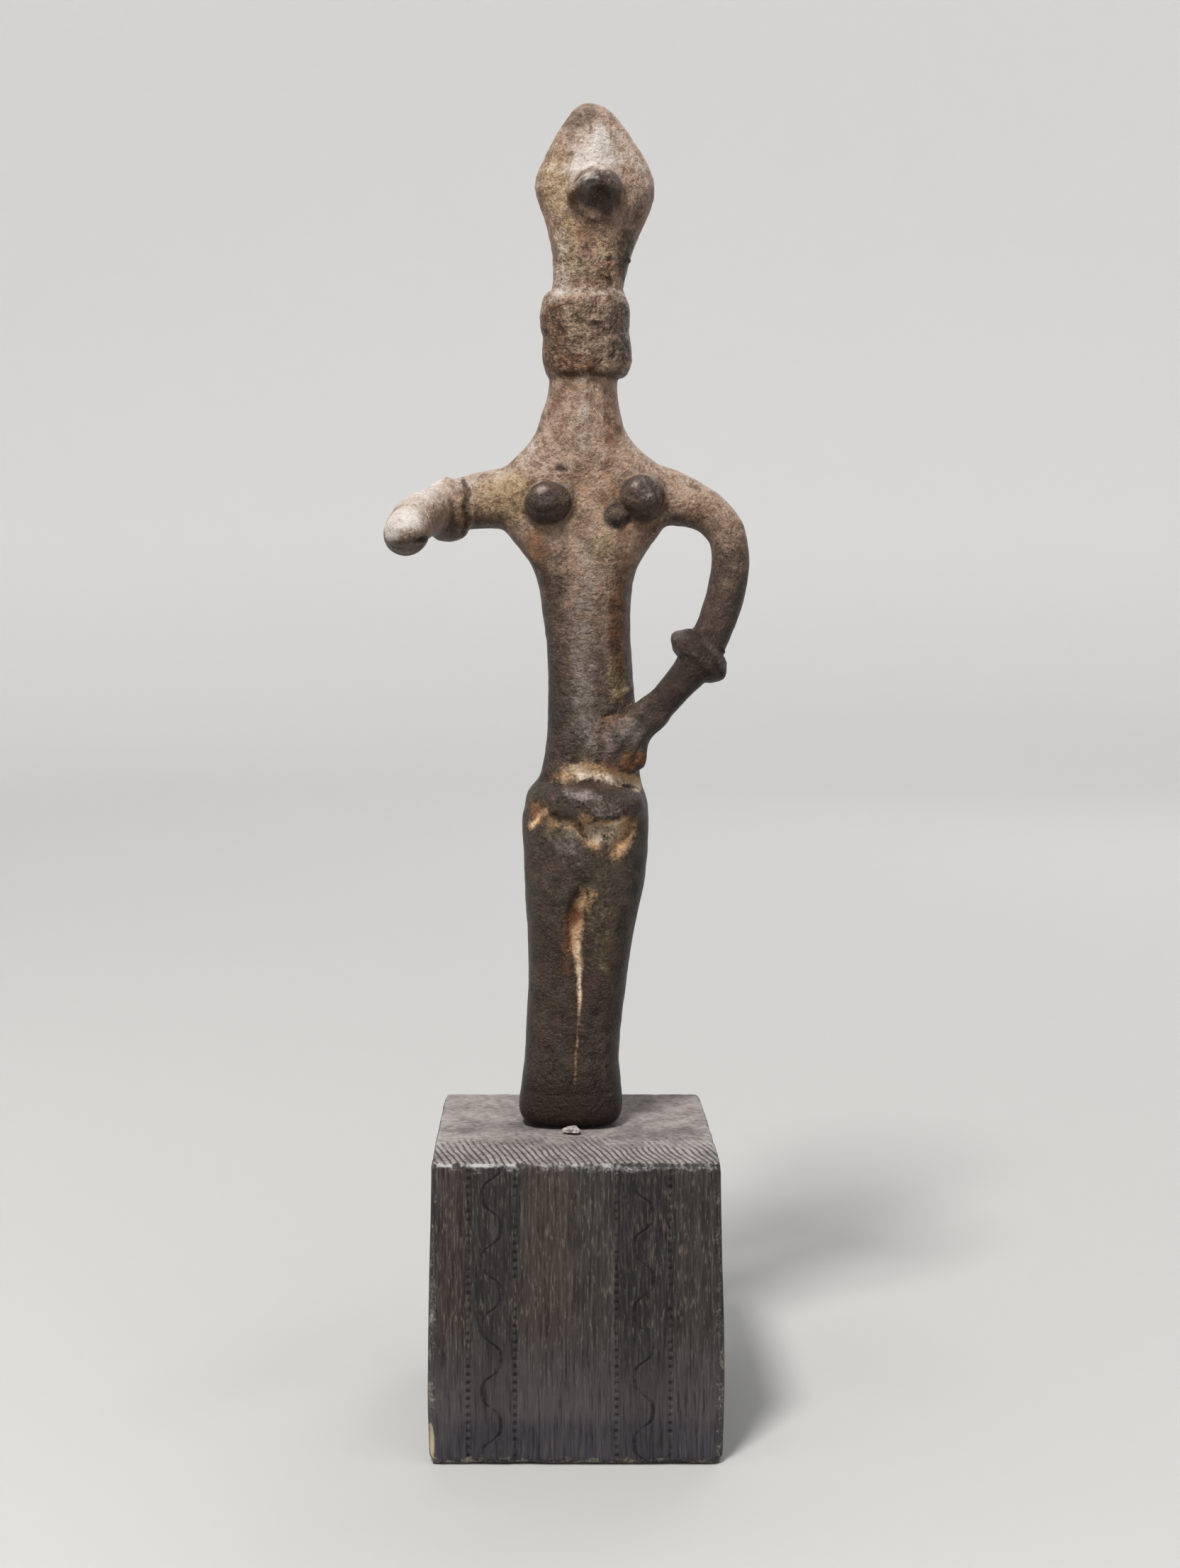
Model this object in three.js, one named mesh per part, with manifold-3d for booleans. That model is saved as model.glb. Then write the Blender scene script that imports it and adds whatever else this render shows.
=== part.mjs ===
// A small cast bronze fertility idol, fixed upright on a square wooden plinth.
// Millimetres, +Z up. The figure looks along -Y. The origin is the middle of the plinth's underside.
import * as THREE from "three";
import { mergeVertices } from "three/addons/utils/BufferGeometryUtils.js";
import Module from "manifold-3d";

const wasm = await Module();
wasm.setup();

// Driving sizes of the wooden plinth
const plinthWidth = 35;
const plinthDepth = 35;
const plinthHeight = 35.3;
const plinthCornerRadius = 1.3;
const plinthEdgeRound = 0.6;

// Driving sizes of the figure, and where its foot stands on the plinth
const idolHeight = 128.8;
const footAside = -0.45;
const footSetBack = 2;
const seatGap = 0.3;

// Driving sizes of the dab of pale adhesive that shows in front of the foot
const dabWidth = 2.4;
const dabDepth = 1.7;
const dabHeight = 0.9;

const bronze = new THREE.MeshStandardMaterial({
  color: 0x5b4a3c,
  roughness: 0.6,
  metalness: 0.6,
});
const stainedWood = new THREE.MeshStandardMaterial({
  color: 0x453f3b,
  roughness: 0.8,
  metalness: 0,
});
const paleAdhesive = new THREE.MeshStandardMaterial({
  color: 0xc9beb2,
  roughness: 0.7,
  metalness: 0,
});

// The figure is modelled in hundredths of its own height, from its foot up, and scaled at the end.
// Sections of head, trunk and legs, each a stretched ring:
// height, lean to +X, half width, depth in front, depth behind, squareness (2 is an ellipse).
const legSections = [
  [0, 0, 4.15, 2.6, 2.7, 2.7],
  [0.35, 0, 4.75, 3.15, 3.2, 2.7],
  [1.5, 0, 5.15, 3.5, 3.5, 2.7],
  [3.6, 0.05, 4.9, 3.4, 3.4, 2.7],
  [7, 0.2, 4.7, 3.3, 3.3, 2.6],
  [12, 0.55, 4.8, 3.5, 3.4, 2.6],
  [17, 0.9, 5.15, 3.7, 3.7, 2.6],
  [22, 1.3, 5.75, 4.1, 4.4, 2.5],
  [26.5, 1.5, 6.15, 4.3, 5.1, 2.4],
  [30.3, 1.45, 6.2, 4.2, 4.9, 2.3],
];
const torsoSections = [
  [32.4, 1.65, 5.65, 3.9, 4.1, 2.2],
  [34, 1.95, 4.95, 3.7, 3.5, 2.1],
  [37.5, 2.15, 4.55, 3.7, 3.3, 2.1],
  [42, 2.05, 4.35, 3.6, 3.3, 2.1],
  [47, 1.8, 4.3, 3.5, 3.3, 2.1],
  [51, 1.5, 4.5, 3.5, 3.3, 2.1],
  [54, 1.4, 5.05, 3.4, 3.3, 2.2],
  [56.2, 1.3, 6.4, 3.4, 3.2, 2.3],
  [58.4, 1.2, 8.1, 3.3, 3.2, 2.4],
  [61, 1.2, 9, 3.2, 3.1, 2.4],
  [63.3, 1.2, 8.5, 3.1, 3, 2.3],
  [64.9, 1.2, 7.1, 3, 3, 2.2],
  [66.5, 1.1, 5.3, 3, 3, 2.1],
];
const headSections = [
  [68.6, 1.05, 4.15, 2.95, 3, 2.1],
  [71.2, 1.2, 3.5, 2.9, 3, 2],
  [74, 1.35, 3.3, 2.9, 3, 2],
  [78, 1.5, 3.4, 3.1, 3, 2],
  [81.9, 1.7, 3.5, 3.3, 3, 1.9],
  [85.8, 2.2, 4.15, 3.4, 2.9, 1.8],
  [89.2, 2.5, 5.4, 3.6, 2.8, 1.7],
  [91.7, 2.35, 6.1, 3.6, 2.7, 1.7],
  [94, 2.35, 5.45, 3.1, 2.5, 1.7],
  [96.3, 2.3, 4.05, 2.5, 2.2, 1.8],
  [98.3, 2.2, 2.7, 1.9, 1.8, 1.9],
  [99.5, 2.05, 1.65, 1.3, 1.3, 2],
  [100, 2, 0.5, 0.5, 0.5, 2],
];
const trunkSections = [...legSections, ...torsoSections, ...headSections];

// Arms, from inside the chest outwards: x, y, z, half thickness sideways, half thickness along `level`
const armOnHip = [
  [3.5, 0, 61.5, 3.2, 2.6],
  [7, 0, 61.7, 3.15, 2.7],
  [10, 0, 61.2, 2.85, 2.5],
  [13.3, 0, 60, 2.2, 2.15],
  [15.4, 0, 57.8, 1.95, 2],
  [15.8, -0.1, 54.8, 1.95, 1.95],
  [15.1, -0.4, 51.2, 1.95, 1.9],
  [13.8, -0.9, 47.6, 1.85, 1.85],
  [12.3, -1.5, 45, 1.9, 1.8],
  [9.9, -2.3, 42.3, 1.65, 1.6],
  [7.7, -2.8, 40, 1.9, 1.5],
  [6, -3, 38, 2.7, 1.4],
  [4.8, -3, 36, 2.6, 1.3],
  [4.1, -2.9, 34, 1.5, 1],
];
const armForward = [
  [-2, 0, 61.3, 2.6, 3.1],
  [-6, 0, 61.2, 2.6, 3.1],
  [-9, 0, 60.9, 2.5, 2.85],
  [-11.4, -0.5, 60.4, 2.4, 2.5],
  [-13.2, -2.6, 59.9, 2.4, 2.4],
  [-14.5, -6, 59.1, 2.3, 2.3],
  [-15.3, -10, 57.7, 2.2, 2.2],
  [-15.4, -13, 56.5, 2.1, 2.1],
  [-15.4, -15.4, 55.5, 1.9, 1.9],
];

const across = new THREE.Vector3(1, 0, 0);
const backward = new THREE.Vector3(0, 1, 0);
const upward = new THREE.Vector3(0, 0, 1);

// Rows of numbers joined by a smooth curve: row 0 at t = 0, row 1 at t = 1, and so on.
function flow(rows, t) {
  const last = rows.length - 1;
  const i = Math.min(Math.floor(t), last - 1);
  const f = t - i;
  const before = rows[Math.max(i - 1, 0)];
  const from = rows[i];
  const to = rows[i + 1];
  const after = rows[Math.min(i + 2, last)];
  return from.map((value, k) => {
    const slopeIn = (to[k] - before[k]) / 2;
    const slopeOut = (after[k] - value) / 2;
    const rise = to[k] - value;
    const bend = 3 * rise - 2 * slopeIn - slopeOut;
    return value + f * (slopeIn + f * (bend + f * (slopeIn + slopeOut - 2 * rise)));
  });
}

// The trunk's section at one height, and the y of its front surface there.
function trunkAt(height) {
  const next = trunkSections.findIndex((row) => row[0] > height);
  const [low, high] = [trunkSections[next - 1], trunkSections[next]];
  return flow(trunkSections, next - 1 + (height - low[0]) / (high[0] - low[0]));
}
function frontY(x, height) {
  const [, lean, width, ahead, , squareness] = trunkAt(height);
  const share = Math.min(Math.abs(x - lean) / width, 1);
  return -ahead * (1 - share ** squareness) ** (1 / squareness);
}

// One closed ring of points, anticlockwise about side x level, the way in which the next ring follows.
function ring({ centre, side, level, width, ahead, behind = ahead, squareness = 2 }, sides) {
  const stretch = (v) => Math.sign(v) * Math.abs(v) ** (2 / squareness);
  const points = [];
  for (let i = 0; i < sides; i++) {
    const angle = (2 * Math.PI * i) / sides;
    const depth = Math.sin(angle) < 0 ? ahead : behind;
    points.push(
      centre
        .clone()
        .addScaledVector(side, width * stretch(Math.cos(angle)))
        .addScaledVector(level, depth * stretch(Math.sin(angle))),
    );
  }
  return points;
}

// A closed skin over a row of rings: flat ends, or the last ring joined to the first in a loop.
function skin(rings, loop = false) {
  const sides = rings[0].length;
  const points = rings.flat();
  const faces = [];
  const spans = loop ? rings.length : rings.length - 1;
  for (let r = 0; r < spans; r++) {
    for (let s = 0; s < sides; s++) {
      const a = r * sides + s;
      const b = r * sides + ((s + 1) % sides);
      const up = ((r + 1) % rings.length) * sides - r * sides;
      faces.push(a, b, b + up, a, b + up, a + up);
    }
  }
  if (!loop) {
    for (const [first, turned] of [
      [0, true],
      [(rings.length - 1) * sides, false],
    ]) {
      const middle = points.length;
      const centre = new THREE.Vector3();
      for (let s = 0; s < sides; s++) centre.addScaledVector(points[first + s], 1 / sides);
      points.push(centre);
      for (let s = 0; s < sides; s++) {
        const next = (s + 1) % sides;
        faces.push(middle, first + (turned ? next : s), first + (turned ? s : next));
      }
    }
  }
  const geometry = new THREE.BufferGeometry().setFromPoints(points);
  geometry.setIndex(faces);
  return geometry;
}

// Level rings stacked up, from rows like trunkSections. `y` sets how far forward they stand.
function stack(rows, { sides, steps, y = 0 }) {
  const rings = [];
  const count = (rows.length - 1) * steps;
  for (let i = 0; i <= count; i++) {
    const [height, lean, width, ahead, behind, squareness] = flow(rows, i / steps);
    const centre = new THREE.Vector3(lean, y, height);
    rings.push(
      ring({ centre, side: across, level: backward, width, ahead, behind, squareness }, sides),
    );
  }
  return skin(rings);
}

// A roll that follows a curve through its rows: x, y, z, half thickness sideways and along `level`.
function roll(rows, { level, sides, steps }) {
  const path = new THREE.CatmullRomCurve3(rows.map(([x, y, z]) => new THREE.Vector3(x, y, z)));
  const rings = [];
  const count = (rows.length - 1) * steps;
  for (let i = 0; i <= count; i++) {
    const tangent = path.getTangent(i / count);
    const up = level.clone().addScaledVector(tangent, -level.dot(tangent)).normalize();
    const side = up.clone().cross(tangent);
    const [, , , width, ahead] = flow(rows, i / steps);
    rings.push(ring({ centre: path.getPoint(i / count), side, level: up, width, ahead }, sides));
  }
  return skin(rings);
}

function solidOf(geometry) {
  const bare = geometry.clone();
  bare.deleteAttribute("uv");
  bare.deleteAttribute("normal");
  const merged = mergeVertices(bare, 1e-5);
  return new wasm.Manifold(
    new wasm.Mesh({
      numProp: 3,
      vertProperties: new Float32Array(merged.attributes.position.array),
      triVerts: new Uint32Array(merged.index.array),
    }),
  );
}

function geometryOf(solid) {
  const { vertProperties, triVerts } = solid.getMesh();
  const geometry = new THREE.BufferGeometry();
  geometry.setAttribute("position", new THREE.BufferAttribute(new Float32Array(vertProperties), 3));
  geometry.setIndex(new THREE.BufferAttribute(new Uint32Array(triVerts), 1));
  return geometry;
}

// A pellet pressed on to the front of the trunk: half width, half height, and how far it stands out.
function pellet(x, height, halfWidth, halfHeight, proud) {
  return new THREE.SphereGeometry(1, 14, 9)
    .rotateX(Math.PI / 2)
    .scale(halfWidth, proud, halfHeight)
    .translate(x, frontY(x, height), height);
}

// The beaked boss of the face, a drop with its narrow end down, standing out of the head.
function faceBoss() {
  const lean = 2.55;
  const rows = [
    [86.6, lean, 0.5, 0.5, 1, 1.9],
    [87.2, lean, 1, 1.5, 1, 1.8],
    [88.2, lean, 1.8, 2.5, 1, 1.8],
    [89.3, lean, 2.6, 3, 1, 1.8],
    [90.4, lean, 2.8, 2.9, 1, 1.9],
    [91.5, lean, 2.5, 2.1, 1, 2],
    [92.7, lean, 1.6, 1.1, 1, 2],
  ];
  return stack(rows, { sides: 16, steps: 1, y: frontY(lean, 89.5) + 0.3 });
}

// A barrel-shaped lobe round the neck.
function neckLobe({ height, tall, lean, width, depth, puff }) {
  const rows = [];
  const levels = 6;
  for (let i = 0; i <= levels; i++) {
    const angle = (i / levels - 0.5) * Math.PI;
    const drawnIn = puff * (1 - Math.cos(angle));
    const size = depth - drawnIn;
    rows.push([height + (tall / 2) * Math.sin(angle), lean, width - drawnIn, size, size, 2.1]);
  }
  return stack(rows, { sides: 22, steps: 1 });
}

// A ring round an arm, like a thick bracelet: where it is, which way the arm runs, and its half sizes.
function armRing({ centre, along, radius, depth, halfLength, puff }) {
  const tangent = new THREE.Vector3(...along).normalize();
  const level = backward.clone().addScaledVector(tangent, -tangent.y).normalize();
  const side = level.clone().cross(tangent);
  const rings = [];
  const levels = 4;
  for (let i = 0; i <= levels; i++) {
    const angle = (i / levels - 0.5) * Math.PI;
    const drawnIn = puff * (1 - Math.cos(angle));
    rings.push(
      ring(
        {
          centre: new THREE.Vector3(...centre).addScaledVector(tangent, halfLength * Math.sin(angle)),
          side,
          level,
          width: radius - drawnIn,
          ahead: depth - drawnIn,
          squareness: 2.2,
        },
        16,
      ),
    );
  }
  return skin(rings);
}

// The belly roll above the hips, a loop that is thick and proud in front, and thin and flush behind.
function bellyRoll() {
  const steps = 32;
  const sides = 10;
  const height = 31.3;
  const fullest = -1.35;
  const [, lean, width, ahead, behind] = trunkAt(height);
  const rings = [];
  for (let i = 0; i < steps; i++) {
    const angle = (2 * Math.PI * i) / steps;
    const depth = Math.sin(angle) < 0 ? ahead : behind;
    const outward = new THREE.Vector3(Math.cos(angle) * depth, Math.sin(angle) * width, 0).normalize();
    const swell = Math.max(0, Math.cos(angle - fullest)) ** 0.7;
    const thick = 0.8 + 0.7 * swell;
    const tall = 1.1 + 0.85 * swell;
    const proud = 0.1 + 1.3 * swell ** 2;
    const centre = new THREE.Vector3(
      lean + (width + proud - thick) * Math.cos(angle),
      (depth + proud - thick) * Math.sin(angle),
      height + 0.4 * (1 - swell) - 0.2 * Math.cos(angle),
    );
    rings.push(ring({ centre, side: upward, level: outward, width: tall, ahead: thick }, sides));
  }
  return skin(rings, true);
}

// The tool of a groove along points on the trunk's front: x, height, half width, depth.
function groove(points) {
  const rows = points.map(([x, height, half, depth]) => [x, frontY(x, height), height, half, depth]);
  return roll(rows, { level: backward, sides: 6, steps: 2 });
}

const legParting = [
  [1.5, 24.2, 0.1, 0.1],
  [1.2, 22.9, 0.8, 0.7],
  [0.5, 20.9, 1.05, 1.1],
  [0.5, 18.6, 0.9, 1.1],
  [0.65, 16.4, 0.65, 1],
  [0.85, 14.2, 0.4, 0.8],
  [0.8, 11.4, 0.3, 0.7],
  [0.55, 7.8, 0.25, 0.6],
  [0.37, 4.2, 0.1, 0.1],
];
const groinLineLeft = [
  [0.9, 30, 0.4, 0.4],
  [1.3, 28.9, 0.55, 0.7],
  [1.8, 27.7, 0.45, 0.6],
  [2.2, 26.3, 0.1, 0.1],
];
const groinLineRight = [
  [5.9, 29.9, 0.4, 0.4],
  [5.2, 28.6, 0.7, 0.8],
  [4.5, 27.2, 0.55, 0.6],
  [3.8, 25.5, 0.1, 0.1],
];

// The broken end of the forward arm, cut off by a block whose back face looks backward and upward.
function brokenEnd() {
  const size = 8;
  const slant = 0.95;
  return new THREE.BoxGeometry(size, size, size)
    .translate(0, -size / 2, 0)
    .rotateX(slant)
    .translate(-15.4, -13.6, 56.2);
}

function idolGeometry() {
  const joined = [
    stack(trunkSections, { sides: 26, steps: 2 }),
    neckLobe({ height: 79, tall: 4.8, lean: 1.42, width: 4.47, depth: 4, puff: 0.75 }),
    neckLobe({ height: 75.5, tall: 4.9, lean: 1.64, width: 4.42, depth: 3.9, puff: 0.65 }),
    roll(armOnHip, { level: backward, sides: 14, steps: 2 }),
    roll(armForward, { level: upward, sides: 14, steps: 2 }),
    armRing({
      centre: [12.6, -1.4, 45.7],
      along: [-0.68, -0.2, -0.71],
      radius: 3.05,
      depth: 2.5,
      halfLength: 1.35,
      puff: 0.55,
    }),
    armRing({
      centre: [-12, -1, 59.9],
      along: [-0.85, -0.5, -0.1],
      radius: 3.1,
      depth: 2.9,
      halfLength: 1.5,
      puff: 0.6,
    }),
    pellet(-2.2, 60.6, 2.4, 2.05, 1.75),
    pellet(6.9, 61.2, 2.45, 2.3, 1.85),
    pellet(4.5, 59.3, 1, 0.9, 0.7),
    faceBoss(),
    bellyRoll(),
  ].map(solidOf);
  const cuts = [
    groove(legParting),
    groove(groinLineLeft),
    groove(groinLineRight),
    brokenEnd(),
  ].map(solidOf);
  const whole = joined.reduce((body, piece) => body.add(piece));
  const carved = cuts.reduce((body, cut) => body.subtract(cut), whole);
  const hundredth = idolHeight / 100;
  return geometryOf(carved).scale(hundredth, hundredth, hundredth);
}

function plinthGeometry() {
  const halfWidth = plinthWidth / 2 - plinthEdgeRound;
  const halfDepth = plinthDepth / 2 - plinthEdgeRound;
  const radius = Math.max(plinthCornerRadius - plinthEdgeRound, 0.1);
  const outline = new THREE.Shape()
    .absarc(halfWidth - radius, halfDepth - radius, radius, 0, Math.PI / 2)
    .absarc(radius - halfWidth, halfDepth - radius, radius, Math.PI / 2, Math.PI)
    .absarc(radius - halfWidth, radius - halfDepth, radius, Math.PI, Math.PI * 1.5)
    .absarc(halfWidth - radius, radius - halfDepth, radius, Math.PI * 1.5, Math.PI * 2);
  return new THREE.ExtrudeGeometry(outline, {
    depth: plinthHeight - 2 * plinthEdgeRound,
    bevelThickness: plinthEdgeRound,
    bevelSize: plinthEdgeRound,
    bevelSegments: 2,
    curveSegments: 3,
  }).translate(0, 0, plinthEdgeRound);
}

function named(name, geometry, material) {
  const mesh = new THREE.Mesh(geometry, material);
  mesh.name = name;
  return mesh;
}

const plinth = named("plinth", plinthGeometry(), stainedWood);

const idol = named("idol", idolGeometry(), bronze);
idol.position.set(footAside, footSetBack, plinthHeight + seatGap);

const dab = named(
  "adhesive_dab",
  new THREE.SphereGeometry(0.5, 12, 8).scale(dabWidth, dabDepth, dabHeight),
  paleAdhesive,
);
const [, , , footAhead] = legSections[2];
const footFront = (footAhead * idolHeight) / 100;
dab.position.set(
  footAside,
  footSetBack - footFront - seatGap - dabDepth / 2,
  plinthHeight + seatGap + dabHeight / 2,
);

const part = new THREE.Group();
part.add(plinth, idol, dab);

export default part;
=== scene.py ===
# %% [markdown]
# # A small bronze idol on a wooden plinth
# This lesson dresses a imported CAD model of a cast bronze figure. The CAD gives the true form and size
# of three pieces: the figure, the plinth that it stands on, and a dab of adhesive at its foot. Here each
# of them gets the surface that a close look shows: cast skin, earth in the hollows, worn metal, sawn wood.

# %% Load the frame
import math

import bmesh
import bpy
import numpy as np
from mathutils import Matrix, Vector


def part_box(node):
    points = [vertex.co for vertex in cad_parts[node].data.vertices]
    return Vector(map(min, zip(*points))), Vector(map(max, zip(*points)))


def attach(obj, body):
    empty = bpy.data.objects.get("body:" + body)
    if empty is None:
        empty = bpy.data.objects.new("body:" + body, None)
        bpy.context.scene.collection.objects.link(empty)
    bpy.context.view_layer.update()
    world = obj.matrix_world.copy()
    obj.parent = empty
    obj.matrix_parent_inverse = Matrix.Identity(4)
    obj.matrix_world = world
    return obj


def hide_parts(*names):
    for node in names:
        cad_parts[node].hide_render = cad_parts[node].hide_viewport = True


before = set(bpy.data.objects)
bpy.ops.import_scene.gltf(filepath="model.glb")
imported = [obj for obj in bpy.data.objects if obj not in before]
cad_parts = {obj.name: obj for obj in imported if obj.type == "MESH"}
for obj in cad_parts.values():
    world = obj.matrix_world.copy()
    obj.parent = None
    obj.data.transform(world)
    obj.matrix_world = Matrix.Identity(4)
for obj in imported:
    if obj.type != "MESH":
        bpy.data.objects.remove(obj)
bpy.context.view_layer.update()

MM = 0.001


def placed(name, data):
    """A new object in the scene."""
    made = bpy.data.objects.new(name, data)
    bpy.context.scene.collection.objects.link(made)
    return made


def shade_smooth(mesh):
    mesh.polygons.foreach_set("use_smooth", np.ones(len(mesh.polygons), dtype=bool))


print("nodes:", sorted(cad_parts))

# %% [markdown]
# ## Camera
# The photograph was taken level with the figure's waist, with a lens a little longer than normal. A level
# camera keeps the plinth's sides upright, so the frame is moved down with lens shift and not by tilting.
# The image is 1665 by 2212 pixels, and the optical axis meets it above and left of its middle.

# %% Place the camera
IMAGE_WIDE, IMAGE_TALL = 1665, 2212
AXIS_X, AXIS_Y = 770, 861
FOCAL_PIXELS = 2815
SENSOR = 36.0
EYE = (-3.57, -251, 100.2)

lens = bpy.data.cameras.new("camera")
lens.sensor_width = SENSOR
lens.lens = FOCAL_PIXELS / IMAGE_TALL * SENSOR
lens.shift_x = (IMAGE_WIDE / 2 - AXIS_X) / IMAGE_TALL
lens.shift_y = (AXIS_Y - IMAGE_TALL / 2) / IMAGE_TALL
lens.clip_start = 0.01
camera = placed("camera", lens)
camera.location = Vector(EYE) * MM
camera.rotation_euler = (math.radians(90), 0, 0)
bpy.context.scene.camera = camera
print(f"lens {lens.lens:.1f} mm, shift {lens.shift_x:.3f}, {lens.shift_y:.3f}")

# %% [markdown]
# ## Soft noise and soft spots
# Cast metal is never quite even. Three small helpers are enough to sculpt it: smooth noise from a seeded
# lattice of random values, a soft spot round a point, and a soft stroke along a line. They work on whole
# arrays of points, so a hundred thousand vertices take a fraction of a second.

# %% Helpers for soft values
# A lattice point picks its random value from a table, by a key mixed from its three whole numbers.
TABLE = 4096
MIXERS = np.array([73856093, 19349663, 83492791])


def ease(value, low=0.0, high=1.0):
    t = np.clip((value - low) / (high - low), 0, 1)
    return t * t * (3 - 2 * t)


def between(value, start, full, fade, end):
    """0 up to the start, 1 from full to fade, and 0 again from the end on."""
    return ease(value, start, full) * ease(-value, -end, -fade)


def strongest(*layers):
    return np.maximum.reduce(layers)


def noise(points, size, seed):
    """Smooth noise between -1 and 1, with bumps about `size` across (one number, or one an axis)."""
    table = np.random.default_rng(seed).uniform(-1, 1, TABLE)
    scaled = points / size
    cell = np.floor(scaled).astype(np.int64)
    part = scaled - cell
    part = part * part * (3 - 2 * part)
    total = np.zeros(len(points))
    for corner in np.ndindex(2, 2, 2):
        at = cell + corner
        key = np.bitwise_xor.reduce(at * MIXERS, axis=1)
        weight = np.prod(np.where(corner, part, 1 - part), axis=1)
        total += weight * table[key % TABLE]
    return total


def spot(points, centre, radii):
    """1 at the centre, easing to 0 at the rim of an ellipsoid."""
    away = np.linalg.norm((points - np.array(centre)) / np.array(radii), axis=1)
    return ease(1 - away)


def stroke(flat, path):
    """1 on a line, easing to 0 at its half width. Each point of the path is x, height, half width."""
    best = np.zeros(len(flat))
    for (x0, z0, w0), (x1, z1, w1) in zip(path, path[1:]):
        along = np.array([x1 - x0, z1 - z0])
        offset = flat - [x0, z0]
        t = np.clip(offset @ along / (along @ along), 0, 1)
        away = np.linalg.norm(offset - t[:, None] * along, axis=1)
        best = strongest(best, ease(1 - away / (w0 + t * (w1 - w0))))
    return best


# %% [markdown]
# ## From the solid to clay
# The CAD figure is right in form but faceted, and its limbs meet in hard creases. A voxel remesh turns
# it into an even skin of small quads, like clay. Relaxing that skin melts the facets away. Relaxing it a
# lot would also melt the collar and the breasts, so a lightly relaxed copy is kept, and its creases are
# given back where the real casting has them.

# %% Helpers for the clay skin
def clay_copy(node, name, voxel):
    """A new object with the node's form as an even quad mesh."""
    source = placed(name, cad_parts[node].data.copy())
    remesh = source.modifiers.new("remesh", "REMESH")
    remesh.mode = "VOXEL"
    remesh.voxel_size = voxel
    evaluated = source.evaluated_get(bpy.context.evaluated_depsgraph_get())
    skin = bpy.data.meshes.new_from_object(evaluated)
    source.modifiers.clear()
    source.data = skin
    skin.materials.clear()
    return source


def points_of(mesh):
    co = np.empty(len(mesh.vertices) * 3)
    mesh.vertices.foreach_get("co", co)
    return co.reshape(-1, 3)


def put_points(mesh, co):
    mesh.vertices.foreach_set("co", np.ascontiguousarray(co, dtype=np.float32).ravel())
    mesh.update()


def normals_of(mesh):
    normal = np.empty(len(mesh.vertices) * 3)
    mesh.vertex_normals.foreach_get("vector", normal)
    return normal.reshape(-1, 3)


def edges_of(mesh):
    pairs = np.empty(len(mesh.edges) * 2, dtype=np.int32)
    mesh.edges.foreach_get("vertices", pairs)
    return pairs.reshape(-1, 2)


def relaxed(values, edges, rounds, rate=0.5):
    """Each value moves towards the mean of its neighbours, again and again."""
    values = values.reshape(len(values), -1)
    count = len(values)
    degree = np.bincount(edges.ravel(), minlength=count)[:, None]
    for _ in range(rounds):
        total = np.stack(
            [
                np.bincount(edges[:, 0], column[edges[:, 1]], count)
                + np.bincount(edges[:, 1], column[edges[:, 0]], count)
                for column in values.T
            ],
            axis=1,
        )
        values = values + rate * (total / degree - values)
    return values


def put_mask(mesh, name, values):
    layer = mesh.attributes.new(name, "FLOAT", "POINT")
    layer.data.foreach_set("value", np.clip(values, 0, 1).astype(np.float32))


# %% [markdown]
# ## The figure's own measure
# Everything on the figure is placed in hundredths of its height, counted from the middle of its foot:
# x to its left, y to its back, z up. The same numbers then fit a larger or a smaller cast.

# %% Make the figure's clay skin
FOOT_X, FOOT_Y = -0.45 * MM, 2 * MM
SKIN_QUAD = 0.29 * MM
idol_low, idol_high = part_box("idol")
HUNDREDTH = (idol_high.z - idol_low.z) / 100
foot = np.array([FOOT_X, FOOT_Y, idol_low.z])

idol = clay_copy("idol", "bronze_figure", SKIN_QUAD)
idol_edges = edges_of(idol.data)
raw = (points_of(idol.data) - foot) / HUNDREDTH
light = relaxed(raw, idol_edges, rounds=5)
heavy = relaxed(light, idol_edges, rounds=16)
melted = relaxed(heavy, idol_edges, rounds=70)

ARM_RING_LEFT = (12.6, -1.4, 45.7)
ARM_RING_RIGHT = (-12.0, -1.0, 59.9)
BREAST_RIGHT = (-2.2, -3.4, 60.6)
BREAST_LEFT = (6.9, -3.2, 61.2)
BREAST_LUMP = (4.5, -3.4, 59.3)
FACE_BOSS = (2.55, -4.6, 89.6)
STUMP = (-15.4, -13.6, 56.2)

height = heavy[:, 2]
keep = np.zeros(len(heavy))
for low, high in ((72.0, 82.6), (27.5, 34.6), (-1.0, 1.6), (96.0, 101.0)):
    keep = strongest(keep, between(height, low, low + 1, high - 1, high))
keep *= ease(-np.abs(heavy[:, 0] - 1.5), -9, -7)
for centre, radius in (
    (ARM_RING_LEFT, 4.6),
    (ARM_RING_RIGHT, 4.8),
    (BREAST_RIGHT, 4.2),
    (BREAST_LEFT, 4.4),
    (BREAST_LUMP, 2.4),
    (STUMP, 3.4),
    ((4.8, -4.0, 37.0), 5.5),
):
    keep = strongest(keep, ease(spot(heavy, centre, (radius,) * 3) * 3))
keep = strongest(keep, 0.5 * ease(spot(heavy, FACE_BOSS, (5.4,) * 3) * 3))
form = heavy + keep[:, None] * (light - heavy)
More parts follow.
